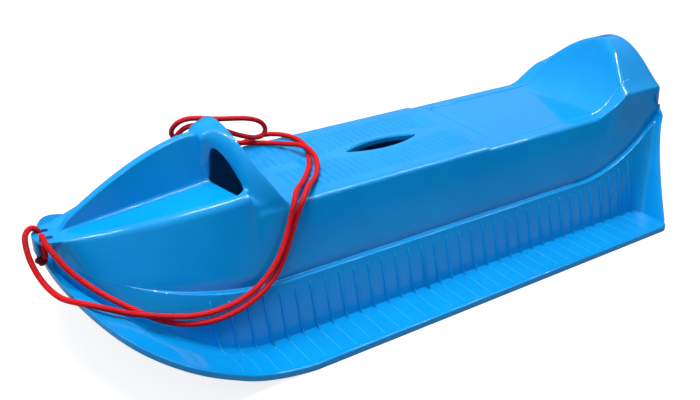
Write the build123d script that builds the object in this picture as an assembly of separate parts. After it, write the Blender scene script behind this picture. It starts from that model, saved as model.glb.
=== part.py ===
from build123d import *
import os
from math import cos, pi, radians, sin, sqrt, tan

# A straddle sled: one thin blown-out shell of glossy plastic, open below. A raised beam with a flat
# seat runs down the middle, a wide foot pan surrounds it and curls up at the bow, and a cord goes
# through two slots in the nose. The shell is cut at its own creases into named panels that meet
# face to face. Millimetres, +X towards the bow, +Y to port, +Z up, origin on the floor in the middle.

os.makedirs("parts", exist_ok=True)

# ---- Driving dimensions ------------------------------------------------------------------------
LENGTH = 1110.0            # backrest's rear face to the tip of the nose
WALL = 3.0                 # the shell's thickness

PAN_WIDTH = 500.0          # widest part of the foot pan, at the bow
PAN_STERN_WIDTH = 472.0    # the pan across its rear corners
RIM_HEIGHT = 10.0          # the pan's top surface above the floor
RAMP_RADIUS = 220.0        # the bow curls up on this radius
RAMP_ANGLE = 30.0          # and runs on straight at this slope
RAMP_LENGTH = 277.0        # from the start of the curl to the pan's front edge
DISH_SHIFT = 20.0          # the dished middle of the bow starts to rise this much later
DISH_MARGIN = 60.0         # width of the raised band round the dish
KEEL_WIDTH = 9.0           # moulded keel rails under the running boards
KEEL_INSET = 24.0          # from the rail to the edge of the board

BEAM_FOOT_WIDTH = 329.0    # the beam where it meets the pan
BEAM_TOP_WIDTH = 227.0     # and at the seat
SEAT_HEIGHT = 191.0
SEAT_STEP = 3.0            # the rear deck lies this much lower
LEDGE_HEIGHT = 87.0        # the ledge between skirt and upper wall, amidships
LEDGE_DEPTH = 5.0          # the upper wall stands in from the skirt
LEDGE_STERN_RISE = 0.00161  # how fast the ledge climbs towards the stern, per millimetre
LEDGE_BOW_RISE = 0.00076   # and towards the bow

RIB_PITCH = 25.0
RIB_WIDTH = 2.4
RIB_DEPTH = 3.0
RIB_FOOT = 9.0             # reach and height of the flare at a rib's foot
RIB_GAP = 9.0              # from a rib's top to the ledge

SLOT_LENGTH = 139.0        # the lens-shaped hole through the front deck
SLOT_WIDTH = 32.0

COWL_HEIGHT = 215.0        # the cowl's rear edge
COWL_SLOPE = 0.145         # and its fall towards the nose
FIN_HEIGHT = 281.0         # the ridge where it runs under the hoop
FIN_NOSE_WIDTH = 12.0
FIN_HOOP_WIDTH = 58.0
FIN_TOP_WIDTH = 14.0
HOOP_HEIGHT = 294.0
HOOP_WIDTH = 226.0
HOOP_FLARE = 980.0         # its front flares into the fin, by this over the distance from the middle
GRIP_HEIGHT = 262.0        # top of the hand openings beside the fin
GRIP_SIDE_HEIGHT = 227.0   # and at their outer ends
GRIP_WIDTH = 194.0         # between their outer edges, port to starboard
GRIP_INNER = 50.0          # and between their inner edges

BACKREST_HEIGHT = 289.0
SHOULDER_HEIGHT = 216.0
BACKREST_LENGTH = 157.0    # from the rear face to where the side wings start to rise
RIM_AT_SHOULDER = 77.0     # fore-and-aft width of the backrest's top at the shoulders
RIM_AT_CREST = 42.0        # and at its middle
RAKE_RUN = 83.0            # the stern leans back by this much below the backrest
RAKE_ANGLE = 24.0
GUSSET_HEIGHT = 166.0
GUSSET_TOP_REACH = 15.0    # how far the stern panel stands out from the beam at its top

TOW_SLOT_LENGTH = 18.0
TOW_SLOT_WIDTH = 9.6
TOW_SLOT_SPACING = 23.0    # between the middles of the two slots
NOSE_BILL = 5.0            # thickness of the slotted bill
KNOB_WIDTH = 13.0
KNOB_DROP = 27.0
KNOB_DEPTH = 6.0

CORD_DIAMETER = 8.0
KNOT_DIAMETER = 18.0

# ---- Places worked out from them -----------------------------------------------------------------
STERN_X = -LENGTH / 2
TIP_X = LENGTH / 2
RAKE = tan(radians(RAKE_ANGLE))
PAN_STERN_X = STERN_X + RAKE_RUN
BACKREST_X = STERN_X + BACKREST_LENGTH

PAN_FRONT_X = TIP_X - 15.0
RAMP_X = PAN_FRONT_X - RAMP_LENGTH
HOOP_REAR_X = TIP_X - 334.5
COWL_REAR_X = TIP_X - 252.5
HOOP_FRONT_X = TIP_X - 237.5
HOOP_CREST_X = TIP_X - 261.0
HOOP_FACE_X = TIP_X - 282.0
STEP_X = STERN_X + 410.5
SLOT_X = STEP_X + 136.5
FIRST_RIB_X = TIP_X - 187.5
STEM_X = TIP_X - 30.0

DECK_HEIGHT = SEAT_HEIGHT - SEAT_STEP
SLOPED_WALL = WALL / cos(radians(14.3))      # the walls' thickness measured level
FAR = 400.0                                  # cutting solids reach this far out


def ramp(x):
    """Rise of the pan's rim over the floor at x."""
    run = x - RAMP_X
    arc_run = RAMP_RADIUS * sin(radians(RAMP_ANGLE))
    if run <= 0:
        return 0.0
    if run < arc_run:
        return RAMP_RADIUS - sqrt(RAMP_RADIUS ** 2 - run ** 2)
    arc_rise = RAMP_RADIUS * (1 - cos(radians(RAMP_ANGLE)))
    return arc_rise + (run - arc_run) * tan(radians(RAMP_ANGLE))


def rounded_end(x, start, end, power):
    """1 before start, falling to 0 at end, blunt like a boat's bow."""
    share = min(max((x - start) / (end - start), 0.0), 1.0)
    return sqrt(1.0 - share ** power)


def foot_y(x):
    """Half width of the beam where it meets the pan."""
    return BEAM_FOOT_WIDTH / 2 * rounded_end(x, TIP_X - 312.5, TIP_X - 24.0, 2.5)


def foot_z(x):
    """Height of the pan's dished top at the beam's foot."""
    return RIM_HEIGHT + ramp(x - DISH_SHIFT)


def top_y(x):
    """Half width of the beam along its top edge, which draws in from the hoop to the nose."""
    share = max(x - HOOP_REAR_X, 0.0) / (TIP_X + 35.5 - HOOP_REAR_X)
    return BEAM_TOP_WIDTH / 2 * (1.0 - share ** 1.72)


def top_z(x):
    """Height of the beam's top edge: deck, rise beside the hoop, then the cowl."""
    if x >= COWL_REAR_X:
        return COWL_HEIGHT - COWL_SLOPE * (x - COWL_REAR_X)
    share = max(x - HOOP_REAR_X, 0.0) / (COWL_REAR_X - HOOP_REAR_X)
    return DECK_HEIGHT + share * (COWL_HEIGHT - DECK_HEIGHT)


def ledge_z(x):
    aft = max(STERN_X + 225.0 - x, 0.0)
    forward = max(x - TIP_X + 305.0, 0.0)
    return LEDGE_HEIGHT + LEDGE_STERN_RISE * aft ** 2 + LEDGE_BOW_RISE * forward ** 2


def skirt_y(x, z):
    """Outer face of the skirt at height z; the upper wall stands in from this line."""
    share = (z - foot_z(x)) / (top_z(x) - foot_z(x))
    return foot_y(x) + share * (top_y(x) + LEDGE_DEPTH - foot_y(x))


def wall_y(x, z):
    return skirt_y(x, z) - LEDGE_DEPTH


# ---- Ways of making solids -------------------------------------------------------------------------
def ruled(stations, outline):
    """A solid through the (y, z) outlines that outline(x) gives at the stations."""
    wires = [Wire.make_polygon([Vector(x, y, z) for y, z in outline(x)], close=True) for x in stations]
    return Solid.make_loft(wires, True)


def slab(points, half_width=FAR):
    """A solid across the sled, from (x, z) points drawn in side view."""
    wire = Wire.make_polygon([Vector(x, -half_width, z) for x, z in points], close=True)
    return extrude(Face(wire), 2 * half_width, dir=(0, 1, 0))


def column(points, low=-FAR, high=FAR):
    """A solid stood up between two heights, from (x, y) points drawn in plan."""
    wire = Wire.make_polygon([Vector(x, y, low) for x, y in points], close=True)
    return extrude(Face(wire), high - low, dir=(0, 0, 1))


def block(points, start, end):
    """A solid along the sled, from (y, z) points drawn in end view."""
    wire = Wire.make_polygon([Vector(start, y, z) for y, z in points], close=True)
    return extrude(Face(wire), end - start, dir=(1, 0, 0))


def both_sides(points):
    """Points of the port half, followed by their mirror images back to the start."""
    return points + [(along, -y) for along, y in points[::-1] if y > 0]


def mirrored(points):
    """The same for (y, z) points."""
    return points + [(-y, z) for y, z in points[::-1] if y > 0]


def save(shape, name):
    shape.label = name
    export_step(shape, f"parts/{name}.step")


# ---- Cutting solids --------------------------------------------------------------------------------
def sheet(shift, low, high):
    """The pan's side-view band between two heights over its curve, which starts shift later."""
    arc = [RAMP_X + RAMP_RADIUS * sin(radians(RAMP_ANGLE) * step / 8) for step in range(9)]
    stations = [STERN_X - FAR] + arc + [TIP_X + FAR]
    upper = [(x + shift, high + ramp(x)) for x in stations]
    lower = [(x + shift, low + ramp(x)) for x in stations]
    return slab(upper + lower[::-1])


def plan(margin):
    """The pan's outline drawn in by margin, as a column."""
    wide = PAN_WIDTH / 2 - margin
    stern = PAN_STERN_WIDTH / 2 - margin
    front = PAN_FRONT_X - margin / 10
    corner = 95.0
    corner_x = front - 27.0 - corner
    port = [(STERN_X - FAR, stern), (PAN_STERN_X, stern), (RAMP_X, wide - 5.0), (corner_x - 13.0, wide)]
    for step in range(1, 7):
        angle = radians(95.0 - 15.0 * step)
        port.append((corner_x + corner * cos(angle), wide - corner + corner * sin(angle)))
    port += [(front - 12.0, wide * 0.35), (front - 4.0, wide * 0.16), (front, 0.0)]
    return column(both_sides(port))


def ahead_of_stern(shift):
    """Everything ahead of the stern's faces, which are moved forward by shift."""
    lean = shift / cos(radians(RAKE_ANGLE))
    knee = RAKE_RUN / RAKE
    points = [(PAN_STERN_X + lean + FAR * RAKE, -FAR), (STERN_X + lean, knee), (STERN_X + lean, FAR)]
    return slab(points + [(TIP_X + FAR, FAR), (TIP_X + FAR, -FAR)])


BOW_STATIONS = [HOOP_REAR_X, (HOOP_REAR_X + COWL_REAR_X) / 2, COWL_REAR_X]
BOW_STATIONS += [TIP_X - back for back in (225, 195, 165, 138, 114, 94, 76, 61, 48, 38, 30)]
BEAM_STATIONS = [STERN_X + ahead for ahead in (-60, 0, 30, 62, 95, 130, 170, 225)] + BOW_STATIONS
PAN_TOP = sheet(DISH_SHIFT, RIM_HEIGHT, FAR)          # the space over the dished pan
SIDES = {"left": 1, "right": -1}


# ---- Foot pan ----------------------------------------------------------------------------------------
def footprint():
    """The hole in the pan under the beam."""
    port = [(x, foot_y(x) - SLOPED_WALL) for x in [STERN_X - FAR] + BOW_STATIONS]
    return column(both_sides(port))


def make_pan():
    inside = plan(DISH_MARGIN)
    dish = plan(DISH_MARGIN + WALL)
    pan = sheet(0.0, RIM_HEIGHT - WALL, RIM_HEIGHT) & (plan(0.0) - inside)
    pan += sheet(0.0, 0.0, RIM_HEIGHT) & (plan(0.0) - plan(WALL))
    pan += sheet(DISH_SHIFT, RIM_HEIGHT - WALL, RIM_HEIGHT) & dish
    step_wall = (inside - dish) & sheet(DISH_SHIFT, RIM_HEIGHT - WALL, FAR) & sheet(0.0, -FAR, RIM_HEIGHT)
    pan += step_wall
    for inset in (KEEL_INSET, PAN_STERN_WIDTH / 2 - BEAM_FOOT_WIDTH / 2 - KEEL_INSET):
        outer = PAN_STERN_WIDTH / 2 - inset
        for side in SIDES.values():
            low, high = sorted((side * outer, side * (outer - KEEL_WIDTH)))
            rail = column([(STERN_X - FAR, low), (RAMP_X, low), (RAMP_X, high), (STERN_X - FAR, high)])
            pan += rail & sheet(0.0, 0.0, RIM_HEIGHT - WALL / 2)
    return (pan - footprint()) & ahead_of_stern(WALL)


pan = make_pan()
split = slab([(RAMP_X, -FAR), (TIP_X + FAR, -FAR), (TIP_X + FAR, FAR), (RAMP_X, FAR)])
boards = pan - split
save(pan & split, "bow_shovel")
for side, sign in SIDES.items():
    half = column([(STERN_X - FAR, 0), (TIP_X, 0), (TIP_X, sign * FAR), (STERN_X - FAR, sign * FAR)])
    save(boards & half, f"{side}_running_board")


# ---- Beam: skirts, upper walls and ribs ----------------------------------------------------------------
def skirt_outline(sign):
    def outline(x):
        top = ledge_z(x)
        bottom = foot_z(x) - WALL
        under = top - WALL
        points = [
            (skirt_y(x, bottom), bottom),
            (skirt_y(x, top), top),
            (wall_y(x, top) - SLOPED_WALL, top),
            (wall_y(x, top) - SLOPED_WALL, under),
            (skirt_y(x, under) - SLOPED_WALL, under),
            (skirt_y(x, bottom) - SLOPED_WALL, bottom),
        ]
        return [(sign * y, z) for y, z in points]
    return outline


def wall_outline(sign):
    def outline(x):
        bottom = ledge_z(x)
        top = top_z(x) - WALL
        points = [(wall_y(x, bottom), bottom), (wall_y(x, top), top)]
        points += [(y - SLOPED_WALL, z) for y, z in points[::-1]]
        return [(sign * y, z) for y, z in points]
    return outline


def rib(x, sign):
    """A thin upright fin on the skirt, with a flared foot, sunk a little into what it is cut to."""
    def outline(along):
        top = ledge_z(x) - RIB_GAP
        foot = foot_z(x)
        points = [
            (skirt_y(along, foot) - RIB_DEPTH / 2, foot - WALL),
            (skirt_y(along, foot) + RIB_FOOT, foot - WALL),
            (skirt_y(along, foot) + RIB_FOOT, foot + WALL / 2),
            (skirt_y(along, foot + RIB_FOOT) + RIB_DEPTH, foot + RIB_FOOT),
            (skirt_y(along, top) + RIB_DEPTH, top - RIB_DEPTH),
            (skirt_y(along, top), top),
            (skirt_y(along, top) - RIB_DEPTH / 2, top),
        ]
        return [(sign * y, z) for y, z in points]
    return ruled([x - RIB_WIDTH / 2, x + RIB_WIDTH / 2], outline)


rib_count = 1 + int((FIRST_RIB_X - PAN_STERN_X - 12.0) / RIB_PITCH)
for side, sign in SIDES.items():
    skirt = ruled(BEAM_STATIONS, skirt_outline(sign)) & PAN_TOP & ahead_of_stern(WALL)
    wall = ruled(BEAM_STATIONS, wall_outline(sign)) & ahead_of_stern(WALL)
    ribs = [(rib(FIRST_RIB_X - RIB_PITCH * number, sign) & PAN_TOP) - skirt for number in range(rib_count)]
    save(skirt, f"{side}_skirt")
    save(wall, f"{side}_side_wall")
    save(Compound(children=[piece.solid() for piece in ribs]), f"{side}_side_ribs")


# ---- Seat decks ------------------------------------------------------------------------------------------
def lens(length, width):
    """Half of a pointed oval's outline as (x, y) points round the middle, port side."""
    radius = (length ** 2 + width ** 2) / (4 * width)
    reach = [length / 2 * cos(pi * step / 16) for step in range(17)]
    return [(x, sqrt(radius ** 2 - x ** 2) - radius + width / 2) for x in reach]


deck_low = DECK_HEIGHT - WALL
deck_edge = wall_y(0.0, deck_low)
slot_port = [(SLOT_X + x, max(y, 0.0)) for x, y in lens(SLOT_LENGTH, SLOT_WIDTH)]
seat_slot = column(both_sides(slot_port))
front_low = [(deck_edge, deck_low), (wall_y(0.0, SEAT_HEIGHT), SEAT_HEIGHT)]
front_under = [(deck_edge - SLOPED_WALL, deck_low), (deck_edge - SLOPED_WALL, SEAT_HEIGHT - WALL)]
front_deck = block(mirrored(front_low), STEP_X, HOOP_REAR_X)
front_deck -= block(mirrored(front_under), STEP_X, HOOP_REAR_X)
save(front_deck - seat_slot, "front_seat_deck")
rear_outline = [(deck_edge, deck_low), (wall_y(0.0, DECK_HEIGHT), DECK_HEIGHT)]
save(block(mirrored(rear_outline), BACKREST_X, STEP_X), "rear_seat_deck")


# ---- Backrest and stern ------------------------------------------------------------------------------------
def bell(y):
    """The backrest's top seen from behind: a crest that falls to the shoulders."""
    share = min(abs(y) / shoulder_y, 1.0)
    return SHOULDER_HEIGHT + (BACKREST_HEIGHT - SHOULDER_HEIGHT) * (1 - share ** 2) ** 1.15


def rim_x(y):
    """The scoop's rim in plan, from the crest round to the shoulders."""
    share = min(abs(y) / shoulder_y, 1.0)
    return STERN_X + RIM_AT_CREST + (RIM_AT_SHOULDER - RIM_AT_CREST) * share


def backrest_z(x, y):
    """Height of the backrest's top: prism behind the rim, hollow scoop ahead of it."""
    ahead = (x - rim_x(y)) / (BACKREST_X - rim_x(y))
    if ahead <= 0:
        return bell(y)
    return DECK_HEIGHT + (bell(y) - DECK_HEIGHT) * (1 - min(ahead, 1.0)) ** 2.2


def backrest_outline(x, shrink, floor):
    """One half of the backrest's section, from its foot over to the middle."""
    edge_z = backrest_z(x, shoulder_y)
    edge_y = wall_y(0.0, edge_z) - shrink
    points = [(wall_y(0.0, floor) - shrink, floor)]
    for share in (1.0, 0.93, 0.84, 0.73, 0.6, 0.45, 0.3, 0.15, 0.0):
        points.append((edge_y * share, backrest_z(x, edge_y * share) - shrink * 1.3))
    return mirrored(points)


shoulder_y = wall_y(0.0, SHOULDER_HEIGHT)
back_stations = [STERN_X + ahead for ahead in (0, 42, 50, 58, 67, 77, 88, 100, 114, 130)] + [BACKREST_X]
core_stations = [STERN_X + WALL] + back_stations[1:]
backrest = ruled(back_stations, lambda x: backrest_outline(x, 0.0, deck_low))
backrest -= ruled(core_stations, lambda x: backrest_outline(x, SLOPED_WALL, deck_low - 20.0))
save(backrest & ahead_of_stern(0.0), "backrest")


def stern_panel():
    """The raked panel across the stern, with a gusset at each side that sweeps up from the pan."""
    reach = wall_y(0.0, GUSSET_HEIGHT) + GUSSET_TOP_REACH
    corner = PAN_STERN_WIDTH / 2
    sweep = [(corner, 0.0), (corner, RIM_HEIGHT * 0.7)]
    for share in (0.15, 0.35, 0.55, 0.75, 1.0):
        y = reach + (corner - reach) * (1 - share) ** 1.35
        sweep.append((y, RIM_HEIGHT + (GUSSET_HEIGHT - RIM_HEIGHT) * share))
    sweep += [(wall_y(0.0, GUSSET_HEIGHT), GUSSET_HEIGHT), (deck_edge, deck_low)]
    panel = block(mirrored(sweep), STERN_X - FAR, TIP_X)
    return panel & (ahead_of_stern(0.0) - ahead_of_stern(WALL))


save(stern_panel(), "stern_panel")


# ---- Cowl, fin and hoop ------------------------------------------------------------------------------
def fin_y(x):
    """Half width of the fin where it meets the cowl."""
    share = (TIP_X - 32.5 - x) / (TIP_X - 32.5 - COWL_REAR_X)
    return (FIN_NOSE_WIDTH + (FIN_HOOP_WIDTH - FIN_NOSE_WIDTH) * share) / 2


def fin_z(x):
    """The fin's ridge: a shark's fin that climbs from the nose to the hoop."""
    nose = TIP_X - 36.0
    share = min((nose - x) / (nose - HOOP_FRONT_X), 1.0)
    return top_z(nose) + (FIN_HEIGHT - top_z(nose)) * (1 - (1 - share) ** 1.75)


def fin_outline(shrink, drop):
    def outline(x):
        surface = top_z(x) - shrink
        crest = max(fin_z(x) - shrink, surface + 1.0)
        root = fin_y(x) - shrink
        crown = min(FIN_TOP_WIDTH / 2, root * 0.9) - shrink / 2
        points = [(root, top_z(x) - WALL - drop), (root, surface), (crown, max(crest - 5.0, surface + 0.5))]
        return mirrored(points + [(crown / 2, crest)])
    return outline


def cowl_outline(sign):
    def outline(x):
        top = top_z(x)
        points = [(fin_y(x), top - WALL), (top_y(x) + 0.7, top - WALL), (top_y(x), top), (fin_y(x), top)]
        return [(sign * y, z) for y, z in points]
    return outline


def corner_outline(sign):
    """The strip outside a hand opening, between the cowl and the hoop's foot."""
    def outline(x):
        top = top_z(x)
        inner = GRIP_WIDTH / 2
        points = [(inner, top - WALL), (top_y(x) + 0.7, top - WALL), (top_y(x), top), (inner, top)]
        return [(sign * y, z) for y, z in points]
    return outline


def hoop_arch(inset):
    """The hoop in end view: a rounded arch that stands on the deck."""
    width = HOOP_WIDTH / 2 - inset
    rise = HOOP_HEIGHT - inset - DECK_HEIGHT
    port = [(width, DECK_HEIGHT - 40.0)]
    for step in range(15):
        share = sin(pi / 2 * (1 - step / 14))
        port.append((width * share, DECK_HEIGHT + rise * (1 - share ** 2) ** (2 / 3)))
    return block(mirrored(port), HOOP_REAR_X - 60.0, TIP_X)


def ahead_of_rear_face(shift):
    """Everything ahead of the hoop's leaning rear face, moved forward by shift."""
    face = [(HOOP_CREST_X + 40.0, HOOP_HEIGHT + 80.0), (HOOP_CREST_X - 14.0, HOOP_HEIGHT)]
    face += [(HOOP_CREST_X - 28.0, 250.0), (HOOP_CREST_X - 92.0, 148.0)]
    return slab([(x + shift, z) for x, z in face] + [(TIP_X + FAR, 148.0), (TIP_X + FAR, FAR)])


def behind_front_face(shift):
    """Everything behind the hoop's front, which flares forward into the fin, moved back by shift."""
    port = [(HOOP_FACE_X - FAR, HOOP_WIDTH)]
    ridge_y = HOOP_FLARE / (HOOP_FRONT_X - HOOP_FACE_X)
    for y in (HOOP_WIDTH, 113.0, 90.0, 70.0, 55.0, 44.0, 36.0, 30.0, 25.0, ridge_y):
        port.append((HOOP_FACE_X + HOOP_FLARE / y - shift, y - shift / 2))
    return column(both_sides(port))


def hand_opening(sign):
    """One hand opening in end view, between the fin and the hoop's leg."""
    inner, outer = GRIP_INNER / 2, GRIP_WIDTH / 2
    points = [(inner, -FAR), (inner, GRIP_HEIGHT - 5.0), (inner + 6.0, GRIP_HEIGHT)]
    points += [(inner + 30.0, GRIP_HEIGHT - 18.0), (outer - 5.0, GRIP_SIDE_HEIGHT + 2.0)]
    points += [(outer, GRIP_SIDE_HEIGHT - 3.0), (outer, -FAR)]
    return block([(sign * y, z) for y, z in points], HOOP_REAR_X - 60.0, TIP_X + FAR)


def make_hoop():
    hoop = hoop_arch(0.0) & ahead_of_rear_face(0.0) & behind_front_face(0.0)
    hoop -= hoop_arch(WALL) & ahead_of_rear_face(WALL) & behind_front_face(WALL)
    for sign in SIDES.values():
        hoop -= hand_opening(sign) & ahead_of_rear_face(WALL)
    above_beam = [(x, top_z(x) - WALL) for x in BOW_STATIONS[:5]]
    return hoop & slab(above_beam + [(BOW_STATIONS[4], FAR), (HOOP_REAR_X, FAR)])


cowl_stations = BOW_STATIONS[2:]
fin_stations = [COWL_REAR_X - 20.0] + cowl_stations
fin = ruled(fin_stations, fin_outline(0.0, 0.0)) - ruled(fin_stations[:-3], fin_outline(WALL, 10.0))
hoop_space = behind_front_face(0.0)
save(make_hoop(), "grab_hoop")
save(fin - hoop_space, "centre_fin")
for side, sign in SIDES.items():
    cowl = ruled(cowl_stations, cowl_outline(sign)) + ruled(BOW_STATIONS[1:3], corner_outline(sign))
    save(cowl - hoop_space, f"{side}_cowl")


# ---- Nose ------------------------------------------------------------------------------------------------
def obround(middle_x, middle_y, length, width):
    """A slot's outline in plan, as (x, y) points."""
    points = []
    for end, start in ((1, -90.0), (-1, 90.0)):
        for step in range(9):
            angle = radians(start + 22.5 * step)
            x = middle_x + end * (length - width) / 2 + width / 2 * cos(angle)
            points.append((x, middle_y + width / 2 * sin(angle)))
    return points


nose_top = top_z(STEM_X)
bill_low = nose_top - NOSE_BILL
stem_y = top_y(STEM_X)
bill_port = [(STEM_X, stem_y), (TIP_X - 17.0, stem_y * 0.86), (TIP_X - 6.0, stem_y * 0.62)]
bill_port += [(TIP_X - 2.0, stem_y * 0.43), (TIP_X, stem_y * 0.25)]
nose = column(both_sides(bill_port), bill_low, nose_top)
for sign in SIDES.values():
    tow_slot = obround(TIP_X - 15.0, sign * TOW_SLOT_SPACING / 2, TOW_SLOT_LENGTH, TOW_SLOT_WIDTH)
    nose -= column(tow_slot)
knob = [(TIP_X - KNOB_DEPTH, -KNOB_WIDTH / 2), (TIP_X, -KNOB_WIDTH / 2)]
knob += [(x, KNOB_WIDTH / 2) for x, _ in knob[::-1]]
nose += column(knob, nose_top - KNOB_DROP, bill_low)
stem_low = foot_z(STEM_X) - WALL
stem = block(mirrored([(skirt_y(STEM_X, stem_low), stem_low), (stem_y, bill_low)]), STEM_X, STEM_X + WALL)
save(nose + (stem & PAN_TOP), "tow_nose")


# ---- Tow cord ------------------------------------------------------------------------------------------
# One loop of cord. Its two ends are tied in the knot under the nose and come up through the two tow
# slots. It lies over the port side and the seat, and its bight is thrown back over the hoop.
CORD_ROUTE = [
    (544.0, 4.5, 151.0), (544.0, 9.0, 162.0), (544.2, 11.2, 173.5), (544.4, 11.4, 184.0),
    (545.3, 16.0, 190.5), (546.3, 24.0, 190.5), (546.0, 31.0, 186.5), (543.5, 39.0, 180.5),
    (538.0, 46.5, 170.0), (529.5, 54.5, 153.5), (515.5, 66.0, 136.0), (498.0, 85.0, 121.0),
    (477.0, 104.0, 106.5), (449.0, 124.0, 87.5), (415.0, 139.5, 71.5), (375.0, 148.5, 65.5),
    (334.0, 153.0, 72.0), (300.0, 153.0, 86.5), (276.0, 147.0, 100.0), (258.0, 140.0, 116.5),
    (244.0, 133.5, 137.0), (232.0, 127.5, 158.5), (222.0, 125.0, 178.5), (213.5, 125.5, 197.0),
    (199.0, 113.5, 208.0), (182.0, 93.0, 203.0), (165.0, 74.5, 197.0), (147.5, 53.0, 196.5),
    (131.0, 29.0, 199.5), (124.0, 1.0, 207.0), (126.0, -28.0, 207.0), (134.0, -55.0, 201.0),
    (146.5, -80.0, 196.5), (165.0, -96.5, 196.0), (187.5, -106.0, 197.0), (212.0, -116.0, 200.0),
    (238.0, -125.5, 201.0), (264.0, -131.5, 204.0), (287.0, -131.5, 213.0), (303.0, -124.0, 227.5),
    (309.0, -111.0, 243.5), (302.5, -100.5, 258.0), (288.0, -95.5, 263.5), (269.0, -92.5, 261.5),
    (248.0, -91.5, 256.0), (227.0, -92.5, 251.5), (206.0, -94.0, 247.5), (186.0, -96.5, 242.5),
    (169.0, -99.5, 235.5), (156.0, -102.0, 226.0), (150.5, -103.0, 213.5), (157.5, -101.5, 204.5),
    (171.5, -99.0, 205.0), (188.5, -98.0, 211.0), (207.0, -97.0, 219.5), (226.0, -96.5, 230.5),
    (246.5, -94.0, 242.5), (269.0, -91.5, 251.0), (289.0, -95.0, 251.5), (301.0, -103.5, 239.5),
    (304.5, -113.0, 224.0), (298.0, -119.5, 208.5), (281.0, -124.5, 196.0), (259.0, -128.0, 188.5),
    (235.0, -129.0, 185.5), (210.0, -128.5, 186.0), (187.0, -126.0, 189.0), (166.0, -121.5, 195.0),
    (145.0, -118.0, 199.0), (125.0, -110.5, 197.5), (111.5, -94.5, 196.5), (106.0, -72.0, 195.7),
    (109.0, -48.0, 195.7), (119.0, -21.0, 195.7), (132.0, 5.0, 195.7), (148.0, 31.0, 196.0),
    (169.0, 56.0, 196.0), (189.5, 80.0, 198.5), (207.5, 101.0, 205.5), (220.0, 117.0, 206.5),
    (228.5, 126.5, 194.5), (234.5, 127.5, 176.5), (244.0, 132.5, 156.5), (256.5, 139.5, 136.5),
    (272.5, 144.0, 117.5), (293.5, 147.0, 100.0), (321.0, 149.0, 87.0), (356.0, 146.0, 78.0),
    (393.0, 141.5, 78.5), (427.0, 137.0, 87.5), (457.0, 132.0, 98.5), (483.0, 129.0, 110.0),
    (505.0, 128.0, 124.0), (524.0, 119.0, 132.0), (537.0, 98.5, 129.0), (547.0, 71.0, 123.0),
    (555.5, 43.5, 127.5), (560.5, 25.0, 137.5), (563.5, 12.5, 149.0), (564.8, 4.0, 161.5),
    (564.5, -1.5, 173.5), (562.5, -6.5, 185.0), (553.8, -10.5, 192.2), (544.3, -12.0, 187.2),
    (544.1, -11.6, 175.5), (544.0, -9.0, 163.0), (544.0, -4.5, 151.0),
]
KNOT_PLACE = (548.0, 0.0, 146.5)


def cord_radii(points):
    """The radius of the arc at each inner point of the route, as large as its two runs allow."""
    points = [Vector(point) for point in points]
    runs = [after - before for before, after in zip(points, points[1:])]
    radii = []
    for before, after in zip(runs, runs[1:]):
        turn = radians(before.get_angle(after))
        radii.append(0.45 * min(before.length, after.length) / tan(turn / 2))
    return radii


radii = cord_radii(CORD_ROUTE)
cord_path = FilletPolyline(*CORD_ROUTE, radius=radii)
cord_profile = Plane(cord_path @ 0, z_dir=cord_path % 0) * Circle(CORD_DIAMETER / 2)
cord = sweep(cord_profile, path=cord_path).solid()
knot = Pos(*KNOT_PLACE) * Sphere(KNOT_DIAMETER / 2)
save(cord, "tow_cord")
save((knot - cord).solid(), "cord_knot")
print("cord radii", [round(radius) for radius in radii])
print("cord length", round(cord_path.length), "volume ratio",
      round(cord.volume / (pi * CORD_DIAMETER ** 2 / 4 * cord_path.length), 4))
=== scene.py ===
# %% [markdown]
# # A blow-moulded plastic sled
# The sled is one thin blue shell with a red braided cord tied through its nose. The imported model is
# the fixed frame, so its sizes and places come first and every piece made here sits where it says.

# %% Load the frame
from math import cos, exp, pi, radians, sin, sqrt, tan

import bpy
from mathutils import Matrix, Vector


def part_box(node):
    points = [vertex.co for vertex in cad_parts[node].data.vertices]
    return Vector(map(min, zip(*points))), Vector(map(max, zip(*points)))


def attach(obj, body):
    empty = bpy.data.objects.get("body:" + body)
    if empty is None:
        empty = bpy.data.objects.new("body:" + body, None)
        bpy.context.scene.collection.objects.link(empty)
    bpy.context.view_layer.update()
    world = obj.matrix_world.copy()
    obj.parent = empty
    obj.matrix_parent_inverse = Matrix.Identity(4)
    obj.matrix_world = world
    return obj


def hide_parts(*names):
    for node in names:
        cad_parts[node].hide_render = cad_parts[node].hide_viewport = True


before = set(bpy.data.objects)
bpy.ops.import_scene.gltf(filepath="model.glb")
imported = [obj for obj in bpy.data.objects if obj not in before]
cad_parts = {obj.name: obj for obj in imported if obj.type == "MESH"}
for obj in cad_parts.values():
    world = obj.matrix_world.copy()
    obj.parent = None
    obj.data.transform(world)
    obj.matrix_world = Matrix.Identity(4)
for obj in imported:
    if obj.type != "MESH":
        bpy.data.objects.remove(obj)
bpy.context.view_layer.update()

MM = 0.001

# %% [markdown]
# ## Camera, floor and light
# The camera stands high off the port bow and looks aft, as a buyer looks down at a sled on the
# floor. The floor and the world are white to the camera, and the sled keeps its own soft shadow.

# %% Camera
CAMERA_PLACE = (0.7306, 1.0469, 0.7256)
CAMERA_TURN = (radians(63.42), 0.0, radians(147.115))

bpy.ops.object.select_all(action="DESELECT")
bpy.ops.object.camera_add(location=CAMERA_PLACE, rotation=CAMERA_TURN)
camera = bpy.context.object
camera.name = "camera"
camera.data.lens = 43.32
camera.data.sensor_width = 36.0
bpy.context.scene.camera = camera
bpy.context.scene.view_settings.view_transform = "Standard"
print("camera at", tuple(round(v, 3) for v in camera.location))

# %% [markdown]
# Materials are graphs of nodes. They could be drawn by hand in the shader editor. In a script,
# small helpers that add a node, set its values and join its sockets keep each graph short enough
# to read.

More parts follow.
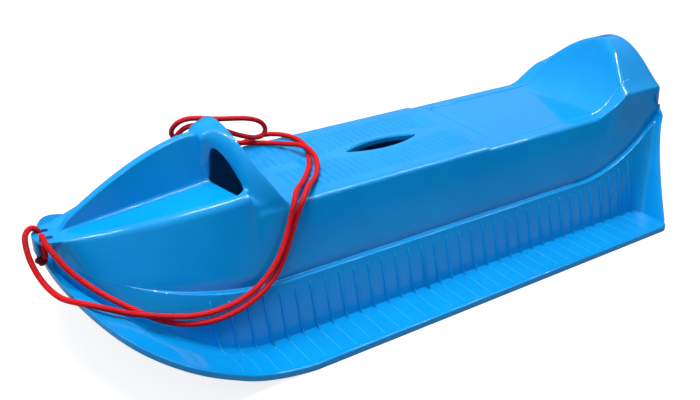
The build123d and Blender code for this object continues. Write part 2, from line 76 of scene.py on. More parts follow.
# %% Node helpers
def new_material(name):
    """A material with an empty graph but for its output, and the graph itself."""
    material = bpy.data.materials.new(name)
    material.use_nodes = True
    graph = material.node_tree
    graph.nodes.clear()
    graph.nodes.new("ShaderNodeOutputMaterial")
    return material, graph


def feed(graph, socket, value):
    """Joins the socket to an output, or sets it to a plain value."""
    if isinstance(value, bpy.types.NodeSocket):
        graph.links.new(value, socket)
    else:
        socket.default_value = value


def add(graph, kind, **inputs):
    """A node of that kind. An input is a value, or the output socket that feeds it."""
    node = graph.nodes.new(kind)
    for name, value in inputs.items():
        feed(graph, node.inputs[name.replace("_", " ")], value)
    return node


# %% [markdown]
# The patterns on the sled are all made from a few steps of arithmetic, and colours that go from
# one to another. The next helpers make those nodes, and the last joins a finished shader to its
# material.

# %% Arithmetic and colours
def sums(graph, operation, first, second=0.0, third=0.0):
    """One step of arithmetic on numbers or sockets."""
    node = graph.nodes.new("ShaderNodeMath")
    node.operation = operation
    for socket, value in zip(node.inputs, (first, second, third)):
        feed(graph, socket, value)
    return node.outputs[0]


def ramp_colours(graph, amount, low, high, start=0.0, stop=1.0):
    """A colour between two others, as amount goes from start to stop."""
    node = graph.nodes.new("ShaderNodeValToRGB")
    node.color_ramp.elements[0].position = start
    node.color_ramp.elements[1].position = stop
    node.color_ramp.elements[0].color = (*low, 1.0)
    node.color_ramp.elements[1].color = (*high, 1.0)
    graph.links.new(amount, node.inputs[0])
    return node.outputs[0]


def blended(graph, share, first, second):
    """The first colour where share is 0, the second where it is 1, and a blend between."""
    node = graph.nodes.new("ShaderNodeMix")
    node.data_type = "RGBA"
    for index, value in ((0, share), (6, first), (7, second)):
        feed(graph, node.inputs[index], value)
    return node.outputs[2]


def finish_graph(graph, surface):
    """Joins the last shader to the material's output."""
    output = next(node for node in graph.nodes if node.type == "OUTPUT_MATERIAL")
    graph.links.new(surface, output.inputs["Surface"])


# %% [markdown]
# The floor is matt and pale. More light would turn it white, but would bleach the sled too. So the
# floor also glows a little to the camera alone. It comes out as white as paper where nothing shades
# it, while the shade under the sled still shows.

# %% Floor
PURE_WHITE = (1.0, 1.0, 1.0, 1.0)
FLOOR_GREY = (0.36, 0.36, 0.36, 1.0)
FLOOR_GLOW = 0.82

bpy.ops.object.select_all(action="DESELECT")
bpy.ops.mesh.primitive_plane_add(size=12.0, location=(0.0, 0.0, 0.0))
floor = bpy.context.object
floor.name = "studio_floor"
floor_white, graph = new_material("studio_floor_white")
matt = add(graph, "ShaderNodeBsdfDiffuse", Color=FLOOR_GREY)
ray = add(graph, "ShaderNodeLightPath")
shown = sums(graph, "MAXIMUM", ray.outputs["Is Camera Ray"], ray.outputs["Is Transmission Ray"])
strength = sums(graph, "MULTIPLY", shown, FLOOR_GLOW)
glow = add(graph, "ShaderNodeEmission", Color=PURE_WHITE, Strength=strength)
both = graph.nodes.new("ShaderNodeAddShader")
graph.links.new(matt.outputs[0], both.inputs[0])
graph.links.new(glow.outputs[0], both.inputs[1])
finish_graph(graph, both.outputs[0])
floor.data.materials.append(floor_white)
print("floor", round(floor.dimensions.x, 1), "m wide")

# %% [markdown]
# Light comes mostly from overhead, which is why the seat is pale and the walls are deep blue. The
# world is brighter above than at the horizon, and plain white to the camera.

# %% World
SKY_LOW, SKY_HIGH = (0.05, 0.08, 0.13), (0.98, 0.99, 1.0)

world = bpy.data.worlds.new("studio")
bpy.context.scene.world = world
world.use_nodes = True
graph = world.node_tree
graph.nodes.clear()
place = add(graph, "ShaderNodeTexCoord")
height = add(graph, "ShaderNodeSeparateXYZ", Vector=place.outputs["Generated"]).outputs["Z"]
sky = ramp_colours(graph, height, SKY_LOW, SKY_HIGH, 0.05, 0.9)
to_camera = add(graph, "ShaderNodeLightPath").outputs["Is Camera Ray"]
backdrop = blended(graph, to_camera, sky, PURE_WHITE)
strength = sums(graph, "MULTIPLY_ADD", to_camera, 0.4, 0.6)
studio = add(graph, "ShaderNodeBackground", Color=backdrop, Strength=strength)
output = graph.nodes.new("ShaderNodeOutputWorld")
graph.links.new(studio.outputs[0], output.inputs["Surface"])
print("world", len(graph.nodes), "nodes")

# %% [markdown]
# Two soft lamps light the plastic without showing in it. The strips do the opposite: they only
# show as reflections, and draw the crisp bright line that runs along every rounded edge of glossy
# plastic. A last wide lamp lays a faint sheen over the far side.

# %% Lamps
STRIP_HEIGHT, STRIP_Y, STRIP_WIDTH = 2.0, 0.12, 0.04


def lamp(name, place, aim, size, power):
    """A soft oblong lamp at a place, in metres, turned towards its aim."""
    bpy.ops.object.select_all(action="DESELECT")
    turn = (Vector(aim) - Vector(place)).to_track_quat("-Z", "Y").to_euler()
    bpy.ops.object.light_add(type="AREA", location=place, rotation=turn)
    light = bpy.context.object
    light.name = name
    light.data.shape = "RECTANGLE"
    light.data.size, light.data.size_y = size
    light.data.energy = power
    print(name, power, "watts")
    return light


def strip_lamp(name, start, stop, power):
    """A thin lamp straight above the sled, from start to stop along it."""
    middle = (start + stop) / 2
    above, below = (middle, STRIP_Y, STRIP_HEIGHT), (middle, STRIP_Y, 0.0)
    return lamp(name, above, below, (stop - start, STRIP_WIDTH), power)


overhead_lamp = lamp("overhead_lamp", (0.3, -0.1, 2.3), (0.05, 0.0, 0.1), (1.6, 1.0), 52.0)
bow_lamp = lamp("bow_lamp", (1.9, -0.3, 1.1), (0.3, 0.0, 0.1), (1.2, 1.0), 8.0)
for soft_lamp in (overhead_lamp, bow_lamp):
    soft_lamp.visible_glossy = False
seat_strip = strip_lamp("seat_strip", -1.9, 0.62, 60.0)
nose_strip = strip_lamp("nose_strip", 0.95, 1.35, 10.0)
sheen_lamp = lamp("sheen_lamp", (-1.9, -2.0, 1.25), (-0.1, 0.0, 0.19), (2.0, 0.8), 1.1)
for gloss_lamp in (seat_strip, nose_strip, sheen_lamp):
    gloss_lamp.visible_diffuse = False

# %% [markdown]
# ## Finishes
# The shell is glossy polyethylene, coloured right through. It is never one flat blue: the pigment
# drifts a little, the gloss is duller where hands and moulds have touched it, and the skin has the
# faint orange peel of blown plastic. A plain colour looks like a toy on a screen, so noise of four
# sizes drives the colour, the roughness and two depths of bump. It is laid on the object's own
# coordinates and needs no unwrapping.

# %% Shell plastic
DEEP_BLUE = (0.001, 0.285, 0.74)
PALE_BLUE = (0.002, 0.335, 0.80)
LINE_HIGHLIGHT_BLUE = (0.04, 0.52, 1.0, 1.0)
GLOSSIEST, DULLEST = 0.07, 0.13


def raised(graph, strength, depth, height, normal=None):
    """A bump of a depth in metres, on top of the one before it."""
    bump = add(graph, "ShaderNodeBump", Strength=strength, Distance=depth, Height=height)
    if normal:
        graph.links.new(normal, bump.inputs["Normal"])
    return bump.outputs[0]


def shell_plastic(name, marks=None):
    """Glossy blue plastic. marks(graph, position) may give a share of raised lines, painted paler as a
    painted highlight on their crests.
    """
    material, graph = new_material(name)
    position = add(graph, "ShaderNodeTexCoord").outputs["Object"]

    def noise(scale, detail, **more):
        node = add(graph, "ShaderNodeTexNoise", Vector=position, Scale=scale, Detail=detail, **more)
        return node.outputs["Fac"]

    colour = ramp_colours(graph, noise(6.0, 4.0, Roughness=0.6), DEEP_BLUE, PALE_BLUE, 0.3, 0.7)
    cloud = noise(28.0, 5.0, Roughness=0.65)
    rough = add(graph, "ShaderNodeMapRange", Value=cloud, From_Min=0.3, From_Max=0.7,
                To_Min=GLOSSIEST, To_Max=DULLEST)
    skin_bumps = raised(graph, 0.12, 0.0004, noise(420.0, 2.0, Roughness=0.5))
    skin_bumps = raised(graph, 0.25, 0.0006, noise(22.0, 1.0), skin_bumps)
    if marks:
        share = marks(graph, position)
        # The raised lines are real, but painting them paler is a painted highlight on their crests.
        colour = blended(graph, sums(graph, "MULTIPLY", share, 0.9), colour, LINE_HIGHLIGHT_BLUE)
        skin_bumps = raised(graph, 0.8, 0.0005, share, skin_bumps)
    shader = add(
        graph, "ShaderNodeBsdfPrincipled", Base_Color=colour, Roughness=rough.outputs[0],
        Normal=skin_bumps, IOR=1.5, Specular_IOR_Level=0.38,
    )
    finish_graph(graph, shader.outputs[0])
    print(name, len(graph.nodes), "nodes")
    return material


plain_shell = shell_plastic("shell_plastic")

# %% [markdown]
# The boards on either side carry fine grip lines, one from the foot of each rib out to the rim.
# They are too fine to be worth cutting, so the finish draws them as a low bump, painted paler as a painted
# highlight along their crests: the distance from a point to the nearest line makes a share that is 1 on the
# line and 0 beside it.

# %% Grip lines
RIB_PITCH, FIRST_RIB_X = 25.0, 367.5
LINE_WIDTH = 0.9
LINES_STOP_X, LINES_STOP_Y = 380.0, 232.0


def grip_lines(graph, position):
    """1 on the grip lines of the boards, which are as far apart as the ribs, and 0 elsewhere."""
    parts = add(graph, "ShaderNodeSeparateXYZ", Vector=position)
    along, across = parts.outputs["X"], parts.outputs["Y"]
    turns = sums(graph, "MULTIPLY_ADD", along, 1 / (RIB_PITCH * MM), 0.5 - FIRST_RIB_X / RIB_PITCH)
    away = sums(graph, "ABSOLUTE", sums(graph, "SUBTRACT", sums(graph, "FRACT", turns), 0.5))
    line = sums(graph, "SUBTRACT", 1.0, sums(graph, "MULTIPLY", away, RIB_PITCH / LINE_WIDTH))
    line = sums(graph, "MAXIMUM", line, 0.0)
    bow = sums(graph, "LESS_THAN", along, LINES_STOP_X * MM)
    rim = sums(graph, "LESS_THAN", sums(graph, "ABSOLUTE", across), LINES_STOP_Y * MM)
    return sums(graph, "MULTIPLY", line, sums(graph, "MULTIPLY", bow, rim))


board_plastic = shell_plastic("board_plastic", grip_lines)

# %% [markdown]
# The cord is a plaited sleeve of shiny red yarn over a core. Its finish reads the tube's own map, in which
# one direction runs along the cord and the other round it, so the plait follows every bend. Real strands
# could be woven, at a great cost in faces. At this size two slanting waves that cross give the same small
# raised picks, and the colour is painted darker in the hollows between them as painted shade.

# %% Braided cord
CORD_LENGTH = 2.42
PICK_LENGTH = 0.0034
STRANDS = 8


def braid(name, light, dark, picks):
    """Plaited yarn, with that many picks along the piece, and painted shade in the hollows between them."""
    material, graph = new_material(name)
    chart = add(graph, "ShaderNodeUVMap").outputs["UV"]
    parts = add(graph, "ShaderNodeSeparateXYZ", Vector=chart)
    round_it, along = parts.outputs["X"], parts.outputs["Y"]
    waves = []
    for sign in (1.0, -1.0):
        climb = sums(graph, "MULTIPLY", along, picks * 2 * pi)
        phase = sums(graph, "MULTIPLY_ADD", round_it, sign * STRANDS * 2 * pi, climb)
        waves.append(sums(graph, "MULTIPLY_ADD", sums(graph, "SINE", phase), 0.5, 0.5))
    plait = sums(graph, "MAXIMUM", *waves)
    position = add(graph, "ShaderNodeTexCoord").outputs["Object"]
    fuzz = add(graph, "ShaderNodeTexNoise", Vector=position, Scale=900.0, Detail=2.0)
    # The colour follows the plait: darker in the hollows between the picks, which is painted shade, with a
    # little random fuzz in the yarn's tone on top.
    painted_pick_shade = sums(graph, "MULTIPLY", plait, 0.85)
    shade = sums(graph, "MULTIPLY_ADD", fuzz.outputs["Fac"], 0.25, painted_pick_shade)
    shader = add(
        graph, "ShaderNodeBsdfPrincipled", Roughness=0.5, Specular_IOR_Level=0.18,
        Base_Color=ramp_colours(graph, shade, dark, light, 0.25, 0.95),
        Normal=raised(graph, 0.75, 0.0007, plait),
    )
    finish_graph(graph, shader.outputs[0])
    print(name, round(picks), "picks")
    return material


red_braid = braid(
    "red_braid", (0.95, 0.004, 0.010), (0.33, 0.001, 0.003), CORD_LENGTH / PICK_LENGTH
)
# The knot is the same red cord, but its braid is painted much darker: painted shadow, as it sits in the
# shade under the bill.
knot_shadow_braid = braid("knot_shadow_braid", (0.24, 0.006, 0.012), (0.11, 0.003, 0.005), 26.0)

# %% [markdown]
# ## Making a sheet from its sections
# Every panel of a blown shell is a smooth sheet, so it is easiest to think of as a run of sections.
# Panels that share their sections' end points meet exactly, which is hard to keep up by pushing
# points about by hand.
# A grid is added with one row of points for each section and its points are moved onto them. The
# rows run from stern to bow and the points from port to starboard, so the faces look outwards.

# %% Sheets
def skin(name, rows):
    """A sheet through rows of points, in millimetres."""
    bpy.ops.object.select_all(action="DESELECT")
    bpy.ops.mesh.primitive_grid_add(
        x_subdivisions=len(rows[0]) - 1, y_subdivisions=len(rows) - 1, size=1.0
    )
    piece = bpy.context.object
    piece.name = name
    places = [value * MM for row in rows for point in row for value in point]
    piece.data.vertices.foreach_set("co", places)
    piece.data.update()
    return piece


def only(piece):
    """Makes the piece the active one, and the only one selected."""
    bpy.ops.object.select_all(action="DESELECT")
    piece.select_set(True)
    bpy.context.view_layer.objects.active = piece


# %% [markdown]
# Sheets that meet are joined and their shared border is merged. A piece that has no wall, such as
# a rib or the cord, has its open ends filled instead, so that it is a closed solid.

# %% Joining and closing
def joined(pieces, merge=0.02):
    """The pieces as one, with the points that meet made one."""
    only(pieces[0])
    for piece in pieces:
        piece.select_set(True)
    if len(pieces) > 1:
        bpy.ops.object.join()
    bpy.ops.object.mode_set(mode="EDIT")
    bpy.ops.mesh.select_all(action="SELECT")
    bpy.ops.mesh.remove_doubles(threshold=merge * MM)
    bpy.ops.object.mode_set(mode="OBJECT")
    return bpy.context.object


def closed(piece):
    """Fills every open border of the piece."""
    only(piece)
    bpy.ops.object.mode_set(mode="EDIT")
    bpy.ops.mesh.select_all(action="SELECT")
    bpy.ops.mesh.fill_holes(sides=0)
    bpy.ops.mesh.select_all(action="SELECT")
    bpy.ops.mesh.normals_make_consistent(inside=False)
    bpy.ops.object.mode_set(mode="OBJECT")
    return piece


# %% [markdown]
# Solidify gives each sheet the shell's 3 mm wall on its inside. The last helper smooths a piece,
# gives it its finish and puts it on the frame in place of the CAD part that it stands for.

# %% Walls and finishing
WALL = 3.0


def thicken(piece, wall=WALL):
    """Gives the sheet a wall on its inner side."""
    only(piece)
    solid = piece.modifiers.new("wall", "SOLIDIFY")
    solid.thickness, solid.offset = wall * MM, -1.0
    solid.use_even_offset = True
    solid.use_quality_normals = True
    solid.thickness_clamp = 1.0
    bpy.ops.object.modifier_apply(modifier="wall")
    return piece


def settle(piece, node, material, smooth=35.0):
    """Smooths the piece, finishes it, and puts it on the frame in place of its CAD node."""
    only(piece)
    piece.name = node + "_skin"
    piece.data.materials.clear()
    piece.data.materials.append(material)
    bpy.ops.object.shade_smooth_by_angle(angle=radians(smooth))
    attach(piece, "root")
    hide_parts(node)
    piece.data.calc_loop_triangles()
    places = [v.co / MM for v in piece.data.vertices]
    low = [round(min(place[axis] for place in places), 1) for axis in range(3)]
    high = [round(max(place[axis] for place in places), 1) for axis in range(3)]
    print(piece.name, low, high, len(piece.data.loop_triangles), "triangles")
    return piece


# %% [markdown]
# ## The cord
# The cord is limp, so it is one smooth NURBS curve through the air and over the sled. It leaves the knot
# under the nose, comes up through the port slot, runs round the bow and along the side, climbs over the seat
# and makes a double loop beside the hoop. Then it goes back the same way to the starboard slot. The points
# were chosen to lie on the sled, and a NURBS curve rounds them into the easy bends of a soft cord.

# %% Cord route
CORD_ROUTE = [
    (0.544, 0.0045, 0.151), (0.544, 0.009, 0.162), (0.5442, 0.0112, 0.1735), (0.5444, 0.0114, 0.184),
    (0.5453, 0.016, 0.1905), (0.5463, 0.024, 0.1905), (0.546, 0.031, 0.1865), (0.5435, 0.039, 0.1805),
    (0.538, 0.0465, 0.17), (0.5295, 0.0545, 0.1535), (0.5155, 0.066, 0.136), (0.498, 0.085, 0.121),
    (0.477, 0.104, 0.1065), (0.449, 0.124, 0.0875), (0.415, 0.1395, 0.0715), (0.375, 0.1485, 0.0655),
    (0.334, 0.153, 0.072), (0.3, 0.153, 0.0865), (0.276, 0.147, 0.1), (0.258, 0.14, 0.1165),
    (0.244, 0.1335, 0.137), (0.232, 0.1275, 0.1585), (0.222, 0.125, 0.1785), (0.2135, 0.1255, 0.197),
    (0.199, 0.1135, 0.208), (0.182, 0.093, 0.203), (0.165, 0.0745, 0.197), (0.1475, 0.053, 0.1965),
    (0.131, 0.029, 0.1995), (0.124, 0.001, 0.207), (0.126, -0.028, 0.207), (0.134, -0.055, 0.201),
    (0.1465, -0.08, 0.1965), (0.165, -0.0965, 0.196), (0.1875, -0.106, 0.197), (0.212, -0.116, 0.2),
    (0.238, -0.1255, 0.201), (0.264, -0.1315, 0.204), (0.287, -0.1315, 0.213), (0.303, -0.124, 0.2275),
    (0.309, -0.111, 0.2435), (0.3025, -0.1005, 0.258), (0.288, -0.0955, 0.2635), (0.269, -0.0925, 0.2615),
    (0.248, -0.0915, 0.256), (0.227, -0.0925, 0.2515), (0.206, -0.094, 0.2475), (0.186, -0.0965, 0.2425),
    (0.169, -0.0995, 0.2355), (0.156, -0.102, 0.226), (0.1505, -0.103, 0.2135), (0.1575, -0.1015, 0.2045),
    (0.1715, -0.099, 0.205), (0.1885, -0.098, 0.211), (0.207, -0.097, 0.2195), (0.226, -0.0965, 0.2305),
    (0.2465, -0.094, 0.2425), (0.269, -0.0915, 0.251), (0.289, -0.095, 0.2515), (0.301, -0.1035, 0.2395),
    (0.3045, -0.113, 0.224), (0.298, -0.1195, 0.2085), (0.281, -0.1245, 0.196), (0.259, -0.128, 0.1885),
    (0.235, -0.129, 0.1855), (0.21, -0.1285, 0.186), (0.187, -0.126, 0.189), (0.166, -0.1215, 0.195),
    (0.145, -0.118, 0.199), (0.125, -0.1105, 0.1975), (0.1115, -0.0945, 0.1965), (0.106, -0.072, 0.1957),
    (0.109, -0.048, 0.1957), (0.119, -0.021, 0.1957), (0.132, 0.005, 0.1957), (0.148, 0.031, 0.196),
    (0.169, 0.056, 0.196), (0.1895, 0.08, 0.1985), (0.2075, 0.101, 0.2055), (0.22, 0.117, 0.2065),
    (0.2285, 0.1265, 0.1945), (0.2345, 0.1275, 0.1765), (0.244, 0.1325, 0.1565), (0.2565, 0.1395, 0.1365),
    (0.2725, 0.144, 0.1175), (0.2935, 0.147, 0.1), (0.321, 0.149, 0.087), (0.356, 0.146, 0.078),
    (0.393, 0.1415, 0.0785), (0.427, 0.137, 0.0875), (0.457, 0.132, 0.0985), (0.483, 0.129, 0.11),
    (0.505, 0.128, 0.124), (0.524, 0.119, 0.132), (0.537, 0.0985, 0.129), (0.547, 0.071, 0.123),
    (0.5555, 0.0435, 0.1275), (0.5605, 0.025, 0.1375), (0.5635, 0.0125, 0.149), (0.5648, 0.004, 0.1615),
    (0.5645, -0.0015, 0.1735), (0.5625, -0.0065, 0.185), (0.5538, -0.0105, 0.1922), (0.5443, -0.012, 0.1872),
    (0.5441, -0.0116, 0.1755), (0.544, -0.009, 0.163), (0.544, -0.0045, 0.151),
]
line = bpy.data.curves.new("cord_line", "CURVE")
line.dimensions = "3D"
line.resolution_u = 12
spline = line.splines.new("NURBS")
spline.points.add(len(CORD_ROUTE) - 1)
for point, place in zip(spline.points, CORD_ROUTE):
    point.co = (*place, 1.0)
spline.order_u = 3
spline.use_endpoint_u = True
line_object = bpy.data.objects.new("cord_line", line)
bpy.context.scene.collection.objects.link(line_object)
bpy.context.view_layer.update()
line_mesh = bpy.data.meshes.new_from_object(line_object)
cord_path = [v.co.copy() for v in line_mesh.vertices]
bpy.data.objects.remove(line_object)
cord_length = sum((b - a).length for a, b in zip(cord_path, cord_path[1:]))
print("cord", len(cord_path), "points,", round(cord_length, 3), "m")

# %% [markdown]
# A tube is a ring carried along the path. A curve's own bevel could make one. Here the rings are
# laid in code, so the map for the plait is known, and each ring is turned only as much as the path
# turns, so the plait doesn't twist.

# %% Cord tube
CORD_RADIUS = 0.004


def tube(name, path, radius, sides=16):
    """A tube round a path given in metres, with a map that runs round it and along it."""
    normal = None
    rows = []
    for index, place in enumerate(path):
        ahead = (path[min(index + 1, len(path) - 1)] - path[max(index - 1, 0)]).normalized()
        if normal is None:
            normal = ahead.orthogonal().normalized()
        normal = (normal - ahead * normal.dot(ahead)).normalized()
        other = ahead.cross(normal)
        ring = [2 * pi * side / sides for side in range(sides + 1)]
        rows.append([(place + (normal * cos(a) - other * sin(a)) * radius) / MM for a in ring])
    return skin(name, rows)


tow_cord = closed(joined([tube("tow_cord_rope", cord_path, CORD_RADIUS)]))
settle(tow_cord, "tow_cord", red_braid, 80.0)
tow_cord.name = "tow_cord_rope"

# %% [markdown]
# The two ends are tied together in one hard knot, too big for the slots. A tube that winds twice
# round a small ring while it weaves in and out three times has the lumpy crossings of such a knot.

# %% Cord knot
KNOT_MIDDLE = Vector((0.548, 0.0, 0.1465))
KNOT_REACH, KNOT_WEAVE, KNOT_RISE = 0.0036, 0.0019, 0.0040
KNOT_STEPS = 120

knot_path = []
for step in range(KNOT_STEPS + 1):
    angle = 2 * pi * step / KNOT_STEPS
    reach = KNOT_REACH + KNOT_WEAVE * cos(3 * angle)
    away = (reach * cos(2 * angle), reach * sin(2 * angle), KNOT_RISE * sin(3 * angle))
    knot_path.append(KNOT_MIDDLE + Vector(away))
cord_knot = closed(joined([tube("cord_knot_rope", knot_path, 0.0036, 14)], 0.05))
# Its darker red braid is painted shadow from the bill above it.
settle(cord_knot, "cord_knot", knot_shadow_braid, 80.0)

# %% [markdown]
# ## The lines of the hull
# A boat builder keeps the shape of a hull in a few lines, and so does this script. The main places
# come from the boxes of the frame's own parts, in millimetres: X runs forward, Y to port and Z up
# from the floor.

# %% Main places
LOWEST, HIGHEST = 0, 1


def box_edge(node, end, axis):
    """The lowest or highest place of a part of the frame along X, Y or Z."""
    return round(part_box(node)[end]["XYZ".index(axis)] / MM, 1)


STERN_X = box_edge("backrest", LOWEST, "X")
BACKREST_X = box_edge("rear_seat_deck", LOWEST, "X")
STEP_X = box_edge("front_seat_deck", LOWEST, "X")
HOOP_REAR_X = box_edge("front_seat_deck", HIGHEST, "X")
HOOP_FRONT_X = box_edge("grab_hoop", HIGHEST, "X")
RAMP_X = box_edge("bow_shovel", LOWEST, "X")
STEM_X = box_edge("tow_nose", LOWEST, "X")
TIP_X = box_edge("tow_nose", HIGHEST, "X")
RIM_HEIGHT = box_edge("left_running_board", HIGHEST, "Z")
LEDGE_HEIGHT = box_edge("left_side_wall", LOWEST, "Z")
STERN_TOP = box_edge("stern_panel", HIGHEST, "Z")
DECK_HEIGHT = box_edge("rear_seat_deck", HIGHEST, "Z")
SEAT_HEIGHT = box_edge("front_seat_deck", HIGHEST, "Z")
COWL_HEIGHT = box_edge("left_cowl", HIGHEST, "Z")
CREST_HEIGHT = box_edge("backrest", HIGHEST, "Z")
HOOP_HEIGHT = box_edge("grab_hoop", HIGHEST, "Z")
HOOP_Y = box_edge("grab_hoop", HIGHEST, "Y")
FOOT_Y = box_edge("left_skirt", HIGHEST, "Y")
print("stern", STERN_X, "seat", BACKREST_X, "to", HOOP_REAR_X, "stem", STEM_X, "tip", TIP_X)
print("rim", RIM_HEIGHT, "ledge", LEDGE_HEIGHT, "seat", SEAT_HEIGHT, "hoop", HOOP_HEIGHT, "high")

# %% [markdown]
# The beam stands with its foot in the pan. The pan curls up at the bow on an arc and runs on
# straight, and the beam's foot follows it and closes to a point under the nose.

# %% Foot of the beam
CURL_RADIUS, CURL_SLOPE = 220.0, radians(30.0)
CURL_RUN = CURL_RADIUS * sin(CURL_SLOPE)
DISH_SHIFT = 20.0
FOOT_TAPER_X, FOOT_TAPER_RUN = 242.5, 288.5


def ease(start, stop, x):
    """0 before start, 1 after stop, and a smooth climb between them."""
    share = min(max((x - start) / (stop - start), 0.0), 1.0)
    return share * share * (3.0 - 2.0 * share)


def ramp(x):
    """How far the pan has curled up."""
    run = x - RAMP_X
    if run <= 0:
        return 0.0
    if run < CURL_RUN:
        return CURL_RADIUS - sqrt(CURL_RADIUS ** 2 - run ** 2)
    return CURL_RADIUS * (1 - cos(CURL_SLOPE)) + (run - CURL_RUN) * tan(CURL_SLOPE)


def foot_y(x):
    """Half width of the beam's foot."""
    share = min(max((x - FOOT_TAPER_X) / FOOT_TAPER_RUN, 0.0), 1.0)
    return FOOT_Y * sqrt(1.0 - share ** 2.5)


def foot_z(x):
    """Height of the beam's foot. The pan's dished middle curls up later than its rim."""
    return RIM_HEIGHT + ramp(x - DISH_SHIFT)


print("foot", round(foot_y(STEM_X), 1), "mm out and", round(foot_z(STEM_X), 1), "high at the stem")

# %% [markdown]
# The beam's top is the seat. Ahead of the hoop it narrows and becomes the cowls, which start
# higher than the seat and fall to the nose.

# %% Top of the beam
TOP_Y, TOP_TAPER_RUN = 113.5, 370.0
COWL_REAR_X, COWL_SLOPE = 302.5, 0.145
STEP_RUN = 1.6


def top_y(x):
    """Half width of the beam's top."""
    share = max(x - HOOP_REAR_X, 0.0) / TOP_TAPER_RUN
    return TOP_Y * (1.0 - share ** 1.72)


def cowl_z(x):
    """Height of the cowls, which fall towards the nose."""
    return COWL_HEIGHT - COWL_SLOPE * (x - COWL_REAR_X)


def top_z(x):
    """Height of the beam's top, which climbs from the deck to the cowls beside the hoop."""
    if x >= COWL_REAR_X:
        return cowl_z(x)
    share = max(x - HOOP_REAR_X, 0.0) / (COWL_REAR_X - HOOP_REAR_X)
    return DECK_HEIGHT + share * (COWL_HEIGHT - DECK_HEIGHT)


def seat_z(x):
    """The deck's height, with the small step between its two parts."""
    climb = ease(STEP_X - STEP_RUN, STEP_X + STEP_RUN, x)
    return DECK_HEIGHT + (SEAT_HEIGHT - DECK_HEIGHT) * climb


print("top", round(top_y(STEM_X), 1), "mm out and", round(top_z(STEM_X), 1), "high at the stem")

# %% [markdown]
# A ledge runs along each side. Below it is the skirt and above it the wall, which stands in a
# little. The ledge climbs at both ends and dies away towards the nose.

# %% Ledge and wall
LEDGE_DEPTH = 5.0
LEAST_DEPTH = 0.1
STERN_CLIMB_X, STERN_CLIMB = -330.0, 0.00161
BOW_CLIMB_X, BOW_CLIMB = 250.0, 0.00076
LEDGE_FADE = (330.0, 485.0)
WING_FLARE, WING_RUN, WING_CLIMB = 9.0, (-395.0, -455.0), (150.0, 205.0)
HOOP_START, HOOP_STOP = 208.0, 340.0


def ledge_z(x):
    """Height of the ledge."""
    astern, ahead = max(STERN_CLIMB_X - x, 0.0), max(x - BOW_CLIMB_X, 0.0)
    return LEDGE_HEIGHT + STERN_CLIMB * astern ** 2 + BOW_CLIMB * ahead ** 2


def ledge_share(x):
    """1 where the ledge is at its deepest, and 0 where it has died away."""
    return 1.0 - ease(*LEDGE_FADE, x)


def ledge_depth(x):
    """The skirt stands out from the wall by this much."""
    return LEAST_DEPTH + (LEDGE_DEPTH - LEAST_DEPTH) * ledge_share(x)


def wall_y(x, z):
    """Half width of the upper wall at height z. It turns out a little into the backrest's wing."""
    share = (z - foot_z(x)) / (top_z(x) - foot_z(x))
    wing = WING_FLARE * ease(*WING_RUN, x) * ease(*WING_CLIMB, z)
    return foot_y(x) + share * (top_y(x) + LEDGE_DEPTH - foot_y(x)) - LEDGE_DEPTH + wing


def split_z(x):
    """The height on the wall at which its lower sheet gives way to the pieces above."""
    def halfway(place, top):
        return (ledge_z(place) + top) / 2

    if x > HOOP_STOP:
        return halfway(x, top_z(x))
    if x <= HOOP_START:
        return halfway(x, SEAT_HEIGHT)
    low, high = halfway(HOOP_START, SEAT_HEIGHT), halfway(HOOP_STOP, top_z(HOOP_STOP))
    return low + (high - low) * (x - HOOP_START) / (HOOP_STOP - HOOP_START)


print("ledge height at stern and stem", round(ledge_z(STERN_X), 1), round(ledge_z(STEM_X), 1))

# %% [markdown]
# Sections are drawn as straight runs whose corners are then rounded, as a draughtsman strikes in
# the radii last. Places along the sled lie close together where a shape turns quickly, and further
# apart elsewhere. Astern of RAKED_X the rows begin to lean with the stern.

# %% Rounding and spacing
RAKED_X = -440.0


def rounded(points, setbacks, steps=6):
    """Straight runs through the points, with each inner corner eased from a setback before it to
    a setback after it."""
    points = [Vector(point) for point in points]
    drawn = [points[0]]
    for before, corner, after, setback in zip(points, points[1:], points[2:], setbacks):
        back, on = before - corner, after - corner
        reach = min(setback, 0.47 * back.length, 0.47 * on.length)
        start, stop = corner + back.normalized() * reach, corner + on.normalized() * reach
        for step in range(steps + 1):
            share = step / steps
            bend = start * (1 - share) ** 2 + corner * 2 * share * (1 - share)
            drawn.append(bend + stop * share ** 2)
    return drawn + [points[-1]]


def spread(start, stop, step):
    """Evenly spaced numbers from start to stop, about step apart."""
    count = max(1, round(abs(stop - start) / step))
    return [start + (stop - start) * index / count for index in range(count + 1)]


def stepped(start, *runs):
    """Numbers from start on, in runs that each have their own end and step."""
    places = [start]
    for stop, step in runs:
        places += spread(places[-1], stop, step)[1:]
    return places


STATIONS = stepped(
    STERN_X, (RAKED_X, 3.5), (BACKREST_X, 6.0), (STEP_X - 6.0, 12.0), (STEP_X + 6.0, 0.6),
    (HOOP_START, 12.0), (HOOP_STOP, 6.0), (STEM_X, 4.0),
)
print(len(STATIONS), "stations from", STATIONS[0], "to", STATIONS[-1])

# %% [markdown]
# The stern leans: it is raked up to the knee and upright above. Each side of it sweeps out into a
# gusset that reaches the rear corner of the pan, and the wall turns out to meet it.

# %% Stern lines
PAN_STERN_X = -472.0
RAKE = tan(radians(24.0))
STERN_INSIDE = 3.3
CORNER_Y = 229.0
GUSSET_HEIGHT, GUSSET_REACH = 166.0, 16.0


def stern_x(z):
    """The inner side of the stern at height z."""
    return max(PAN_STERN_X + STERN_INSIDE - z * RAKE, STERN_X)


